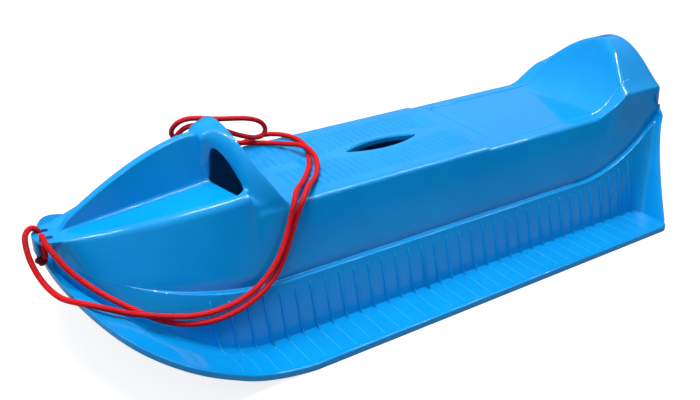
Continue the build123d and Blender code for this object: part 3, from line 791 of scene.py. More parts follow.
def gusset_y(z):
    """Half width of the stern panel at height z."""
    reach = wall_y(STERN_X, GUSSET_HEIGHT) + GUSSET_REACH
    if z < GUSSET_HEIGHT:
        climb = max(z - RIM_HEIGHT, 0.0) / (GUSSET_HEIGHT - RIM_HEIGHT)
        return reach + (CORNER_Y - reach) * (1 - climb) ** 1.25
    narrow = wall_y(STERN_X, STERN_TOP) + 0.6
    return reach + (narrow - reach) * ease(GUSSET_HEIGHT, STERN_TOP, z)


def flare(x, y, z):
    """How far the wall turns out, on a hollow curve, into the stern's gusset."""
    hollow = min(20.0, 0.75 * max(gusset_y(z) - y, 0.0)) * (1.0 - ease(125.0, 168.0, z))
    away = x - stern_x(z)
    if away >= hollow or hollow <= 0.0:
        return 0.0
    return hollow - sqrt(max(hollow ** 2 - (hollow - away) ** 2, 0.0))


print("gusset half width", [round(gusset_y(z), 1) for z in (RIM_HEIGHT, GUSSET_HEIGHT, STERN_TOP)])

# %% [markdown]
# A section function gives the points of a sheet at one place along the sled. Most rows are upright
# slices. Astern, each row leans a little more than the one before, until the last lies in the
# raked stern.

# %% Rows of a sheet
def row(section, station):
    """One row of a sheet: the (y, z) points of the section, drawn in ahead of the raked stern."""
    if station >= RAKED_X:
        return [(station, y, z) for y, z in section(station)]
    share = (station - RAKED_X) / (STERN_X - RAKED_X)
    points = []
    for index, (y, z) in enumerate(section(station)):
        x = station
        for _ in range(9):
            x = RAKED_X + share * (stern_x(z) - RAKED_X)
            y, z = section(x)[index]
        points.append((x, y + flare(x, y, z) if y > 0 else y - flare(x, -y, z), z))
    return points


def upright(section, places):
    """Rows that are all upright slices."""
    return [[(x, y, z) for y, z in section(x)] for x in places]


def to_starboard(rows):
    """The mirror image of a sheet's rows, still looking outwards."""
    return [[(x, -y, z) for x, y, z in points[::-1]] for points in rows]


def mirrored(points):
    """The port half of a section and its mirror image, through the point in the middle."""
    return list(points) + [(*place, -y, z) for *place, y, z in list(points)[-2::-1]]


def both_sides(node, material, *sheets):
    """The port piece, made of one sheet or of several that meet, and its mirror image."""
    for side in ("left", "right"):
        parts = [skin(side, rows if side == "left" else to_starboard(rows)) for rows in sheets]
        piece = joined(parts) if len(parts) > 1 else parts[0]
        settle(thicken(piece), f"{side}_{node}", material)


# %% [markdown]
# ## Skirts
# The skirt is the sloping lower side of the beam. It ends in a ledge, on whose rounded lip the
# light draws a long curve from the nose to the stern. A plank could be extruded and bent, but a
# section at each station lets the ledge climb at both ends and fade out towards the nose.

# %% Skirts
LEDGE_FALL = 1.2
HOLLOW_DEPTH, HOLLOW_HEIGHT = 3.2, 15.0


def hollow(x, z):
    """The upper wall springs from the ledge on a small hollow, this deep at height z."""
    return HOLLOW_DEPTH * ledge_share(x) * (1.0 - ease(0.0, HOLLOW_HEIGHT, z - ledge_z(x)))


def skirt_section(x):
    """Up from the foot to the ledge's lip, and in along the ledge to the wall."""
    foot, lip = foot_z(x) - 2.0, ledge_z(x)
    inner = (wall_y(x, lip) - hollow(x, lip), lip + LEDGE_FALL)
    up = [(wall_y(x, z) + ledge_depth(x), z) for z in (foot, lip)]
    return rounded(up + [inner], [1.3], 5)


skirt_rows = [row(skirt_section, x) for x in STATIONS]
both_sides("skirt", plain_shell, skirt_rows)

# %% [markdown]
# ## Side walls
# The upper wall rises from the ledge and rolls over into the seat at a rounded edge. The roll
# belongs to the wall here, so the seam with the deck lies in the flat, where no light catches it.
# Beside the hoop the wall stops lower down and the hoop's own sheet takes over. The edge beside the
# cowls is rounder than the one beside the seat.

# %% Sections of the side walls
EDGE_ROLL, EDGE_SEAM = 8.0, 14.0
COWL_ROLL, COWL_SEAM = 20.0, 26.0
FIN_NOSE_WIDTH, FIN_HOOP_WIDTH, FIN_RUN = 12.0, 58.0, 220.0


def lower_wall(x):
    low, high = ledge_z(x) + LEDGE_FALL, split_z(x)
    shares = (0.0, 0.06, 0.13, 0.22, 0.34, 0.5, 0.75, 1.0)
    heights = [low + (high - low) * share for share in shares]
    return [(wall_y(x, z) - hollow(x, z), z) for z in heights]


def rolled_edge(x, low, high, seam):
    """Up the wall from a low height and over its rounded top edge, in to the seam."""
    return rounded([(wall_y(x, low), low), (wall_y(x, high), high), (seam, high)], [EDGE_ROLL], 8)


def upper_wall(x):
    seam = wall_y(x, seat_z(x)) - EDGE_SEAM
    return rolled_edge(x, split_z(x), seat_z(x), seam)


def fin_y(x):
    """Half width of the fin's root."""
    share = (STEM_X - 2.5 - x) / FIN_RUN
    return (FIN_NOSE_WIDTH + (FIN_HOOP_WIDTH - FIN_NOSE_WIDTH) * share) / 2


def cowl_width(x):
    return top_y(x) - fin_y(x)


def cowl_seam(x):
    """Half width at which the cowl's sheet begins inside the rolled edge."""
    return top_y(x) - min(COWL_SEAM, 0.42 * cowl_width(x))


def cowl_edge(x, low, high):
    """Up the wall from a low height and over its wide rounded edge, in to the cowl's seam."""
    roll = min(COWL_ROLL, 0.33 * cowl_width(x))
    return rounded([(wall_y(x, low), low), (top_y(x), high), (cowl_seam(x), high)], [roll], 8)


def wall_at_cowl(x):
    return cowl_edge(x, split_z(x), top_z(x))


# %% [markdown]
# The wall is three sheets that share their stations: the lower wall all the way along, and the
# rolled edge beside the seat and again beside the cowls. They are joined before they get a wall, so
# that no seam shows between them.

# %% Side walls
def between(low, high):
    """The stations from one place to another."""
    return [x for x in STATIONS if low - 0.01 <= x <= high + 0.01]


seat_stations, bow_stations = between(BACKREST_X, HOOP_START), between(HOOP_STOP, STEM_X)
both_sides(
    "side_wall", plain_shell,
    [row(lower_wall, x) for x in STATIONS],
    [row(upper_wall, x) for x in seat_stations],
    [row(wall_at_cowl, x) for x in bow_stations],
)

# %% [markdown]
# ## Side ribs
# Thin fins stiffen each skirt, one every 25 mm, and each spreads at its foot to brace the board.
# An array would repeat one rib, but here each has its own height under the climbing ledge. So each
# is drawn as a small ridge up the skirt to just below the ledge, and a side's ribs make one piece.

# %% Side ribs
RIB_COUNT = 34
RIB_DEPTH, RIB_SPREAD, RIB_SPREAD_FALL = 3.1, 8.5, 4.8
RIB_HALF_SECTION = [(1.9, -0.6), (1.6, 0.55), (0.9, 0.92)]
RIB_SECTION = [(-across, out) for across, out in RIB_HALF_SECTION] + [(0.0, 1.0)]
RIB_SECTION += RIB_HALF_SECTION[::-1]
RIB_SHARES = [0.0, 0.02, 0.05, 0.09, 0.14, 0.25, 0.5, 0.75, 0.92]
RIB_TOP = [(0.97, 0.75), (1.0, 0.1)]


def rib_rows(x):
    """The rib at x on the port side: rows run up it, and points across it."""
    foot, top = foot_z(x) - 1.0, ledge_z(x) - 9.0
    rows = []
    for share, fullness in [(share, 1.0) for share in RIB_SHARES] + RIB_TOP:
        z = foot + (top - foot) * share
        spreading = RIB_SPREAD * exp(-(z - foot) / RIB_SPREAD_FALL)
        reach = (RIB_DEPTH + spreading) * fullness
        face = wall_y(x, z) + ledge_depth(x)
        rows.append([
            (x + across, face + (out * reach if out > 0 else out), z) for across, out in RIB_SECTION
        ])
    return rows


for side, sign in (("left", 1), ("right", -1)):
    ribs = []
    for number in range(RIB_COUNT):
        port = rib_rows(FIRST_RIB_X - RIB_PITCH * number)
        rows = [[(x, sign * y, z) for x, y, z in points] for points in port]
        ribs.append(skin(side, rows if sign < 0 else [points[::-1] for points in rows]))
    settle(closed(joined(ribs, 0.001)), side + "_side_ribs", plain_shell, smooth=60.0)

# %% [markdown]
# ## Seat decks
# The front deck carries the lens-shaped slot and two fields of shallow flutes. The sheet is drawn
# in two halves whose inner border follows the lens, so the slot needs no cutting. Where there is no
# slot the two borders meet and are made one.

# %% Front seat deck
SLOT_X, SLOT_LENGTH, SLOT_WIDTH = -8.0, 139.0, 35.0
LIP_WIDTH, LIP_FALL, COLLAR = 2.2, 2.4, 7.0
FLUTE_PITCH, FLUTE_WIDTH, FLUTE_DEPTH = 12.5, 7.8, 1.3
FLUTE_START_X, FLUTE_STOP_X = STEP_X + 14.0, 204.0
FLUTE_INNER_Y, FLUTE_OUTER_Y = 13.0, 84.0
DECK_ACROSS = 36


def lens_y(x, length=SLOT_LENGTH, width=SLOT_WIDTH):
    """Half width of a lens between two arcs, with its middle at the slot's."""
    radius = (length ** 2 + width ** 2) / (4 * width)
    away = min(abs(x - SLOT_X), length / 2)
    return max(sqrt(radius ** 2 - away ** 2) - radius + width / 2, 0.0)


def flute_depth(x, y):
    """How far the flutes sink the deck at a place. They keep clear of a wider lens."""
    middle = FLUTE_START_X + FLUTE_PITCH * round((x - FLUTE_START_X) / FLUTE_PITCH)
    if not FLUTE_START_X - 4.0 < middle < FLUTE_STOP_X:
        return 0.0
    inner = FLUTE_INNER_Y + lens_y(middle, 210.0, 30.0) + FLUTE_WIDTH / 2
    outer = FLUTE_OUTER_Y - FLUTE_WIDTH / 2
    beyond = max(inner - y, y - outer, 0.0)
    away = sqrt((x - middle) ** 2 + beyond ** 2)
    return FLUTE_DEPTH * ease(0.0, 2.2, FLUTE_WIDTH / 2 - away)


def front_deck_section(x):
    """In from the wall's seam to the slot's lip, and down the slot's collar."""
    border = lens_y(x)
    fullness = min(border / 3.0, 1.0)
    edge = wall_y(x, seat_z(x)) - EDGE_SEAM
    points = []
    for step in range(DECK_ACROSS + 1):
        y = edge + (border - edge) * step / DECK_ACROSS
        lip = LIP_FALL * fullness * ease(LIP_WIDTH, 0.0, y - border)
        points.append((y, seat_z(x) - flute_depth(x, y) - lip))
    bottom = points[-1][1]
    return points + [(border, bottom - COLLAR * fullness * share) for share in (0.3, 1.0)]


deck_places = stepped(STEP_X, (STEP_X + 6.0, 0.6), (HOOP_START, 1.25))
port_half = upright(front_deck_section, deck_places)
halves = [skin("port", port_half), skin("starboard", to_starboard(port_half))]
settle(thicken(joined(halves)), "front_seat_deck", plain_shell)

# %% [markdown]
# The rear deck has one sunken panel for the rider, with rounded corners, whose border runs on up
# into the backrest. An inset would leave hard corners, so the panel is a fall in the sheet's own
# height. Points are crowded where its border falls and spread out elsewhere.

# %% Rear seat deck
PANEL_FRONT, PANEL_SIDE, PANEL_CORNER, PANEL_DEPTH = -174.5, 92.0, 14.0, 1.0
GROOVE_DEPTH = 1.3
PANEL_REAR, PANEL_FADE = -492.0, 14.0


def panel_depth(x, y):
    """How far the rider's panel is sunk at a place, with the groove just inside its border."""
    ahead = x - (PANEL_FRONT - PANEL_CORNER)
    aside = abs(y) - (PANEL_SIDE - PANEL_CORNER)
    if ahead > 0 and aside > 0:
        away = sqrt(ahead ** 2 + aside ** 2) - PANEL_CORNER
    else:
        away = max(ahead, aside) - PANEL_CORNER
    groove = GROOVE_DEPTH * exp(-(away + 1.0) ** 2)
    sunk = PANEL_DEPTH * ease(0.0, -2.0, away) + groove
    return sunk * ease(PANEL_REAR, PANEL_REAR + PANEL_FADE, x)


def rear_deck_row(x):
    """One row from edge to edge, crowded where the panel's border may run."""
    edge = wall_y(x, seat_z(x)) - EDGE_SEAM
    across = [edge] + spread(95.0, 74.0, 0.7) + spread(74.0, 0.0, 8.0)[1:]
    return mirrored([(x, y, seat_z(x) - panel_depth(x, y)) for y in across])


rear_places = stepped(
    BACKREST_X, (-192.0, 8.0), (-171.0, 0.7), (STEP_X - 6.0, 5.0), (STEP_X, 0.6)
)
rear_rows = [rear_deck_row(x) for x in rear_places]
settle(thicken(skin("rear", rear_rows)), "rear_seat_deck", plain_shell)

# %% [markdown]
# ## Backrest
# The backrest is a bell seen from behind and a scoop seen from the seat. Its height is worked out
# at each place and then averaged a little fore and aft, which rounds the scoop's rim as the mould
# does. Sculpting could find such a shape too, but a formula keeps both sides alike.

# %% Shape of the backrest
SHOULDER_Z = 220.0
SHOULDER_Y = wall_y(-500.0, SHOULDER_Z)
RIM_AT_CREST, RIM_AT_SHOULDER = 42.0, 93.0


def bell(shoulder_share):
    """The crest's height, from the middle at 0 to the shoulder at 1."""
    climb = (1 - shoulder_share ** 2) ** 1.35
    return SHOULDER_Z + (CREST_HEIGHT - SHOULDER_Z) * climb


def sharp_backrest(x, y):
    """The height with a sharp rim: the bell astern of the rim, and the scoop ahead of it."""
    share = min(abs(y) / SHOULDER_Y, 1.0)
    rim = STERN_X + RIM_AT_CREST + (RIM_AT_SHOULDER - RIM_AT_CREST) * share
    ahead = min(max((x - rim) / (BACKREST_X - rim), 0.0), 1.0)
    steepness = 2.2 - ease(0.8, 1.0, share)
    return DECK_HEIGHT + (bell(share) - DECK_HEIGHT) * (1 - ahead) ** steepness


def backrest_z(x, y):
    """The height with the rim rounded, and the rider's panel sunk in the scoop."""
    reach = min(5.0, (BACKREST_X - x) * 0.5)
    total = sum(sharp_backrest(x + reach * step / 4, y) for step in range(-4, 5))
    return total / 9 - panel_depth(x, y)


print("crest", CREST_HEIGHT, "mm high, shoulders", round(SHOULDER_Y, 1), "mm out")

# %% [markdown]
# The sheet runs from wall to wall over the top. Sections that shrink towards the stern round the
# rear edge, and the last rows fill in the upright back below it.

# %% Backrest
REAR_ROLL, REAR_ROLL_ROWS = 6.0, 7


def backrest_half(x, shrink=0.0):
    """Port half of the section, from the wall's seam up and over to the middle."""
    low, edge_z = split_z(x), backrest_z(x, SHOULDER_Y) - shrink
    edge = wall_y(x, edge_z) - shrink
    inner = edge - EDGE_ROLL
    inner_z = backrest_z(x, inner) - shrink
    runs = [(wall_y(x, low) - shrink, low), (edge, edge_z), (inner - 0.01, inner_z)]
    corner = rounded(runs, [EDGE_ROLL], 8)[:-1]
    halfway = (corner[-1][0] + 95.0) / 2
    across = [halfway] + spread(95.0, 86.0, 0.7) + spread(86.0, 0.0, 6.0)[1:]
    return corner + [(y, backrest_z(x, y) - shrink) for y in across]


def backrest_section(x):
    return mirrored(backrest_half(x))


back_places = stepped(
    STERN_X + REAR_ROLL, (-530.0, 4.0), (-468.0, 1.5), (RAKED_X, 3.0), (BACKREST_X, 6.0)
)
back_rows = [row(backrest_section, x) for x in back_places]
for step in range(1, REAR_ROLL_ROWS + 1):
    angle = pi / 2 * step / REAR_ROLL_ROWS
    x = STERN_X + REAR_ROLL * (1 - sin(angle))
    half = backrest_half(STERN_X + REAR_ROLL, REAR_ROLL * (1 - cos(angle)))
    back_rows.insert(0, [(max(x, stern_x(z)), y, z) for y, z in mirrored(half)])
closing, foot = back_rows[0], STERN_TOP - 1.0
for share in (0.9, 0.7, 0.45, 0.2, 0.0):
    back_rows.insert(0, [(x, y, foot + (max(z, foot) - foot) * share) for x, y, z in closing])
settle(thicken(skin("backrest", back_rows)), "backrest", plain_shell)

# %% [markdown]
# ## Stern panel
# The stern is closed by a raked panel that spreads into a gusset on each side and sweeps down to
# the rear corners of the pan. Its rows lie across the panel, one above the other, and each is as
# wide as the sweep is there. A plate with its corners cut off would have none of that curve.

# %% Stern panel
STERN_EDGE = [(0.0, 2.0), (0.8, 0.9), (2.0, 0.2), (4.0, 0.0), (8.0, 0.0)]
STERN_ACROSS = 18


def stern_row(z):
    """One row across the panel, whose edges are rolled forward a little."""
    half, face = gusset_y(z), PAN_STERN_X - z * RAKE
    points = [(face + lip, half - inset, z) for inset, lip in STERN_EDGE]
    flat = half - STERN_EDGE[-1][0]
    shares = [1 - step / STERN_ACROSS for step in range(1, STERN_ACROSS + 1)]
    return mirrored(points + [(face, flat * share, z) for share in shares])


stern_heights = stepped(STERN_TOP, (GUSSET_HEIGHT, 1.6), (8.0, 6.0)) + [4.0, 1.0, 0.2]
stern_rows = [stern_row(z) for z in stern_heights[::-1]]
settle(thicken(skin("stern", stern_rows)), "stern_panel", plain_shell)

# %% [markdown]
# ## Cowl panels and fin
# Ahead of the hoop the beam closes over the rider's feet. The cowls slope gently to the nose, and a
# ridge like a shark's fin stands between them. The fin grows out of the cowl on a hollow curve, and
# that curve belongs to the fin's own sheet, so the seams lie in the flat of the cowls.

# %% Cowls and fin
FIN_NOSE_X, FIN_HEIGHT = TIP_X - 26.0, 281.0


def fin_z(x):
    """Height of the fin's ridge, which climbs from the nose to the hoop."""
    ahead = min(max((FIN_NOSE_X - x) / (FIN_NOSE_X - HOOP_FRONT_X), 0.0), 1.0)
    climb = (1 - (1 - ahead) ** 1.62) * ease(FIN_NOSE_X, FIN_NOSE_X - 24.0, x)
    return top_z(FIN_NOSE_X) + (FIN_HEIGHT - top_z(FIN_NOSE_X)) * climb


def fin_seam(x):
    """Half width at which the cowl's sheet gives way to the fin's."""
    return fin_y(x) + min(13.0, 0.3 * cowl_width(x))


def cowl_section(x):
    start, stop, z = cowl_seam(x), fin_seam(x), top_z(x)
    return [(start + (stop - start) * step / 6, z) for step in range(7)]


def fin_half(x):
    """Port half of the fin: in from the cowl, up its side and over its rounded ridge."""
    root, low, high = fin_y(x), top_z(x), max(fin_z(x), top_z(x))
    crown = min(7.0, root * 0.8)
    hollow_foot = min(11.0, 0.28 * cowl_width(x))
    corners = [(fin_seam(x), low), (root, low), (crown, high), (0.0, high + 0.2)]
    return rounded(corners, [hollow_foot, 6.5], 7)


def fin_section(x):
    return mirrored(fin_half(x))


both_sides("cowl", plain_shell, upright(cowl_section, bow_stations))
settle(thicken(skin("fin", upright(fin_section, bow_stations))), "centre_fin", plain_shell)

# %% [markdown]
# ## Grab hoop
# The hoop is where everything meets: deck, walls, cowls, fin and the arched handle flow into each
# other without a corner. Such a shape is hard to draw as sheets and easy to model as clay. Plain
# solids are pushed together, remeshed into one even skin, and smoothed until their corners melt.
# The skin is then cut to its borders. Each solid is drawn from closed loops of points.

# %% Solids from loops
BLOCK_FOOT, BLOCK_WALL_FOOT = 110.0, 130.0


def solid(name, loops):
    """A closed solid through loops of points, each loop closed and both ends filled."""
    piece = skin(name, [list(loop) + [loop[0]] for loop in loops])
    only(piece)
    bpy.ops.object.mode_set(mode="EDIT")
    bpy.ops.mesh.select_all(action="SELECT")
    bpy.ops.mesh.remove_doubles(threshold=0.02 * MM)
    bpy.ops.mesh.select_all(action="DESELECT")
    bpy.ops.mesh.select_non_manifold()
    bpy.ops.mesh.edge_face_add()
    bpy.ops.mesh.select_all(action="SELECT")
    bpy.ops.mesh.normals_make_consistent(inside=False)
    bpy.ops.object.mode_set(mode="OBJECT")
    return piece


def whole(half):
    """A closed loop from the port half of a section: down to a flat foot on both sides."""
    port = [(half[0][0], BLOCK_FOOT)] + list(half)
    return port + [(-y, z) for y, z in port[::-1] if y > 0.001]


def counted(loop, count):
    """The loop with a fixed number of points, evenly spaced along it."""
    points = [Vector(point) for point in loop]
    runs = [(b - a).length for a, b in zip(points, points[1:])]
    total, drawn, index, walked = sum(runs), [], 0, 0.0
    for step in range(count):
        target = total * step / (count - 1)
        while index < len(runs) - 1 and walked + runs[index] < target:
            walked += runs[index]
            index += 1
        share = (target - walked) / runs[index] if runs[index] else 0.0
        drawn.append(tuple(points[index].lerp(points[index + 1], min(max(share, 0.0), 1.0))))
    return drawn


# %% [markdown]
# Two of the solids are the beam itself, behind the hoop and ahead of it, with the same sections as
# the walls, the cowls and the fin, so that the hoop's skin will meet them.

# %% Deck and cowl solids
def deck_block(x):
    return rolled_edge(x, BLOCK_WALL_FOOT, SEAT_HEIGHT, 0.0)


def cowl_block(x):
    return cowl_edge(x, BLOCK_WALL_FOOT, cowl_z(x)) + fin_half(x)


def whole_deck(x):
    return whole(deck_block(x))


def whole_cowl(x):
    return whole(cowl_block(x))


blocks = [
    solid("deck_block", upright(whole_deck, spread(190.0, 276.0, 6.0))),
    solid("cowl_block", upright(whole_cowl, spread(284.0, 360.0, 5.0))),
]
print("beam solids", [len(block.data.polygons) for block in blocks], "faces")

# %% [markdown]
# The third solid is the arched handle. It is sliced from port to starboard, because its side view
# changes most that way: the rear face leans forward, the front face flares into the fin near the
# middle, and the crest between them is rounded and falls forward.

# %% Arched handle
REAR_FACE = [(110.0, 178.0), (148.0, 202.0), (250.0, 266.0), (294.0, 280.0), (374.0, 334.0)]
CREST_FALL = [(0.3, 0.08), (0.6, 0.28), (0.85, 0.62), (1.0, 1.0)]
HOOP_FLARE = 980.0
ARCH_POINTS = 90


def rear_face_x(z):
    """The hoop's rear face at height z leans forward to its crest."""
    for (low, start), (high, stop) in zip(REAR_FACE, REAR_FACE[1:]):
        if z <= high:
            return start + (stop - start) * (z - low) / (high - low)
    return REAR_FACE[-1][1]


def front_face_x(y):
    return min(273.0 + HOOP_FLARE / max(abs(y), 1.0), HOOP_FRONT_X)


def arch_z(y):
    share = min(abs(y) / HOOP_Y, 1.0)
    return DECK_HEIGHT + (HOOP_HEIGHT - DECK_HEIGHT) * (1 - share ** 2) ** (2 / 3)


def arch_loop(y):
    """The handle's side view at one place across: up its rear face, over, and down its front."""
    high, front = arch_z(y), front_face_x(y)
    drop = min(11.0 + 15.0 * ease(0.0, 60.0, abs(y)), (high - 150.0) * 0.4)
    loop = [(rear_face_x(z), y, z) for z in spread(BLOCK_FOOT, high, 9.0)]
    rear = loop[-1][0]
    loop += [(rear + (front - rear) * share, y, high - drop * fall) for share, fall in CREST_FALL]
    loop += [(front, y, z) for z in spread(high - drop, BLOCK_FOOT, 9.0)[1:]]
    return counted(loop, ARCH_POINTS)


arch_places = spread(0.4 - HOOP_Y, HOOP_Y - 0.4, 3.0)
blocks.append(solid("arch_block", [arch_loop(y) for y in arch_places]))
print("arch", len(blocks[-1].data.polygons), "faces")

# %% [markdown]
# The corner strips between deck and cowl rise along the top edge of the beam, outside the hand
# openings. They are one more solid on each side. Then all the solids become one object.

# %% Corner strips
STRIP_INNER_Y = 98.5


def strip_loop(x, sign):
    """A slice of the corner strip: the wall outside, the eased top edge, and a flat inner side."""
    high, edge = top_z(x), top_y(x)
    loop = [
        (wall_y(x, BLOCK_WALL_FOOT), BLOCK_WALL_FOOT), (edge - 1.0, high - 5.0), (edge - 7.0, high),
        (STRIP_INNER_Y, high), (STRIP_INNER_Y, BLOCK_WALL_FOOT),
    ]
    return [(x, sign * y, z) for y, z in loop]


for sign in (1, -1):
    strip = [strip_loop(x, sign) for x in spread(222.0, 304.0, 5.0)]
    blocks.append(solid("corner_strip", strip))
only(blocks[0])
for block in blocks:
    block.select_set(True)
bpy.ops.object.join()
hoop = bpy.context.object
print("hoop solids", len(hoop.data.polygons), "faces")

# %% [markdown]
# Voxel remesh wraps all the solids in one skin of even squares, and the Smooth modifier then melts
# every corner where two of them met.

# %% Remesh and smooth the hoop
VOXEL = 2.0

only(hoop)
hoop.data.remesh_voxel_size = VOXEL * MM
hoop.data.remesh_voxel_adaptivity = 0.0
bpy.ops.object.voxel_remesh()
melt = hoop.modifiers.new("melt", "SMOOTH")
melt.factor, melt.iterations = 0.5, 24
bpy.ops.object.modifier_apply(modifier="melt")
print("remeshed hoop", len(hoop.data.vertices), "points")

# %% [markdown]
# Near its borders the melted skin is drawn back onto the hull's own sections, so that it meets the
# walls, the deck, the cowls and the fin without a step.

# %% Fit the hoop to the hull
FIT_MARGIN, FIT_FLOOR = 4.0, 112.0


def nearest(section, y, z):
    """The nearest place on a section, which is a run of (y, z) points."""
    best = None
    for (ay, az), (by, bz) in zip(section, section[1:]):
        dy, dz = by - ay, bz - az
        span = dy * dy + dz * dz
        share = ((y - ay) * dy + (z - az) * dz) / span if span > 1e-9 else 0.0
        share = min(max(share, 0.0), 1.0)
        py, pz = ay + dy * share, az + dz * share
        away = (y - py) ** 2 + (z - pz) ** 2
        if best is None or away < best[0]:
            best = (away, py, pz)
    return best[1], best[2]


def fit(x, y, z):
    """Where a point of the skin belongs: drawn onto the hull near the borders, unmoved inside."""
    side = 1 if y >= 0 else -1
    low = 1.0 - ease(128.0, 200.0, z)
    rear = 1.0 - ease(HOOP_START + 2.0, HOOP_START + 12.0, x)
    front = ease(HOOP_STOP - 22.0, HOOP_STOP - 4.0, x)
    if low > 0 and abs(y) > 60.0:
        y += (side * wall_y(x, z) - y) * low
    if z > BLOCK_WALL_FOOT and (rear > 0 or front > 0):
        block, pull = (deck_block, rear) if rear > 0 else (cowl_block, front)
        py, pz = nearest(block(x), abs(y), z)
        y, z = y + (side * py - y) * pull, z + (pz - z) * pull
    return x, y, z


fitted = 0
for vertex in hoop.data.vertices:
    x, y, z = vertex.co / MM
    if HOOP_START - FIT_MARGIN < x < HOOP_STOP + FIT_MARGIN and z >= FIT_FLOOR:
        vertex.co = [value * MM for value in fit(x, y, z)]
        fitted += 1
print("fitted", fitted, "points")

# %% [markdown]
# Bisect cuts the skin across at both ends and along the wall, and throws away what lies beyond.
# What is left is an open sheet, which gets its wall.

# %% Trim the hoop
def cut_away(piece, point, normal):
    """Cuts the mesh on a plane, in millimetres, and removes what lies on the normal's side."""
    only(piece)
    bpy.ops.object.mode_set(mode="EDIT")
    bpy.ops.mesh.select_all(action="SELECT")
    place = [value * MM for value in point]
    bpy.ops.mesh.bisect(plane_co=place, plane_no=normal, clear_outer=True, threshold=0.00001)
    bpy.ops.object.mode_set(mode="OBJECT")


cut_away(hoop, (HOOP_START, 0, 0), (-1, 0, 0))
cut_away(hoop, (HOOP_STOP, 0, 0), (1, 0, 0))
fall = (split_z(HOOP_STOP) - split_z(HOOP_START)) / (HOOP_STOP - HOOP_START)
cut_away(hoop, (HOOP_START, 0, split_z(HOOP_START)), Vector((fall, 0, -1)).normalized())
thicken(hoop)
print("hoop sheet", len(hoop.data.polygons), "faces")

# %% [markdown]
# The two hand openings are cut last, with a solid for each that has the opening's outline. It
# starts inside the hoop, so the rear face stays whole, and it reaches just past the cowl's rear
# edge. Cutting after the remesh keeps the openings' edges crisp, as a moulder trims them last.

# %% Hand openings
OPENING = [
    (26.5, 238.0), (27.2, 247.0), (28.2, 256.0), (30.0, 262.2), (32.5, 264.6), (35.5, 264.0),
    (40.0, 260.6), (46.0, 255.6), (53.5, 249.2), (63.0, 240.6), (72.8, 231.4), (80.0, 224.2),
    (85.0, 219.8), (89.5, 217.4), (93.0, 216.4), (95.0, 215.6),
]
OPENING_FOOT, OPENING_STEP, REAR_SKIN = 186.0, 196.0, 8.0


def opening_loop(y, high, sign):
    """The cutter's side view at one place across, up to the opening's outline."""
    rear, low_rear = rear_face_x(high) + REAR_SKIN, rear_face_x(OPENING_STEP) + REAR_SKIN
    front = 311.0 - (y - 28.0) / 6.0
    loop = [
        (low_rear, OPENING_FOOT), (low_rear, OPENING_STEP), (rear, high), (front, high),
        (front, OPENING_STEP), (front, OPENING_FOOT),
    ]
    return [(x, sign * y, z) for x, z in loop]


def combine(piece, other, operation):
    """Cuts the other solid out of the piece, or adds it, and removes the other."""
    only(piece)
    change = piece.modifiers.new("change", "BOOLEAN")
    change.operation, change.object, change.solver = operation, other, "EXACT"
    bpy.ops.object.modifier_apply(modifier="change")
    bpy.data.objects.remove(other)


for sign in (1, -1):
    cutter = solid("cutter", [opening_loop(y, high, sign) for y, high in OPENING])
    combine(hoop, cutter, "DIFFERENCE")
print("opened hoop", len(hoop.data.polygons), "faces")
settle(hoop, "grab_hoop", plain_shell, smooth=40.0)

# %% [markdown]
# ## Nose
# The nose is a flat bill with two slots for the cord. Its outline in plan is raised into a slab,
# two rounded slots are cut through it, and a small bevel eases every edge.

# %% Bill and tow slots
BILL_LOW, BILL_HIGH = 177.7, 182.6
BILL_OUTLINE = [
    (520.0, 31.0), (525.0, 31.9), (532.0, 30.6), (538.0, 27.6), (544.0, 23.6), (549.0, 19.0),
    (552.2, 14.5), (554.2, 9.0), (TIP_X, 3.0),
]
TOW_SLOT_X, TOW_SLOT_Y, TOW_SLOT_LENGTH, TOW_SLOT_WIDTH = 540.0, 11.5, 18.0, 9.6
CUT_LOW, CUT_HIGH = 170.0, 190.0


def prism(name, outline, low, high):
    """A solid with an outline in plan between two heights."""
    return solid(name, [[(x, y, z) for x, y in outline] for z in (low, high)])


def obround(x, y, length, width):
    """The outline of a slot with round ends."""
    points = []
    for end, start in ((1, -90.0), (-1, 90.0)):
        middle = x + end * (length - width) / 2
        angles = [radians(start + 22.5 * step) for step in range(9)]
        points += [(middle + width / 2 * cos(a), y + width / 2 * sin(a)) for a in angles]
    return points


def ease_edges(piece, width, segments=3):
    """Bevels the piece's sharp edges."""
    only(piece)
    bevel = piece.modifiers.new("eased", "BEVEL")
    bevel.width, bevel.segments, bevel.limit_method = width * MM, segments, "ANGLE"
    bevel.angle_limit = radians(40.0)
    bpy.ops.object.modifier_apply(modifier="eased")


whole_bill = BILL_OUTLINE + [(x, -y) for x, y in BILL_OUTLINE[::-1]]
nose = prism("nose", whole_bill, BILL_LOW, BILL_HIGH)
for sign in (1, -1):
    outline = obround(TOW_SLOT_X, sign * TOW_SLOT_Y, TOW_SLOT_LENGTH, TOW_SLOT_WIDTH)
    combine(nose, prism("slot", outline, CUT_LOW, CUT_HIGH), "DIFFERENCE")
ease_edges(nose, 1.0)
print("bill", len(nose.data.polygons), "faces")

# %% [markdown]
# A stub under the bill's tip keeps the cord from sliding off. It is a block with its edges rounded
# well over, made one with the bill. Behind it a rounded plate, the stem, closes the beam.

# %% Tow nose
KNOB_MIDDLE, KNOB_SIZE, KNOB_EDGE = (0.5518, 0.0, 0.1686), (0.0062, 0.0200, 0.0258), 2.9
STEM_BULGE, STEM_WALL = 9.0, 2.5

bpy.ops.object.select_all(action="DESELECT")
bpy.ops.mesh.primitive_cube_add(size=1.0, location=KNOB_MIDDLE)
knob = bpy.context.object
bpy.ops.transform.resize(value=KNOB_SIZE)
bpy.ops.object.transform_apply(location=True, rotation=True, scale=True)
ease_edges(knob, KNOB_EDGE, segments=5)
combine(nose, knob, "UNION")


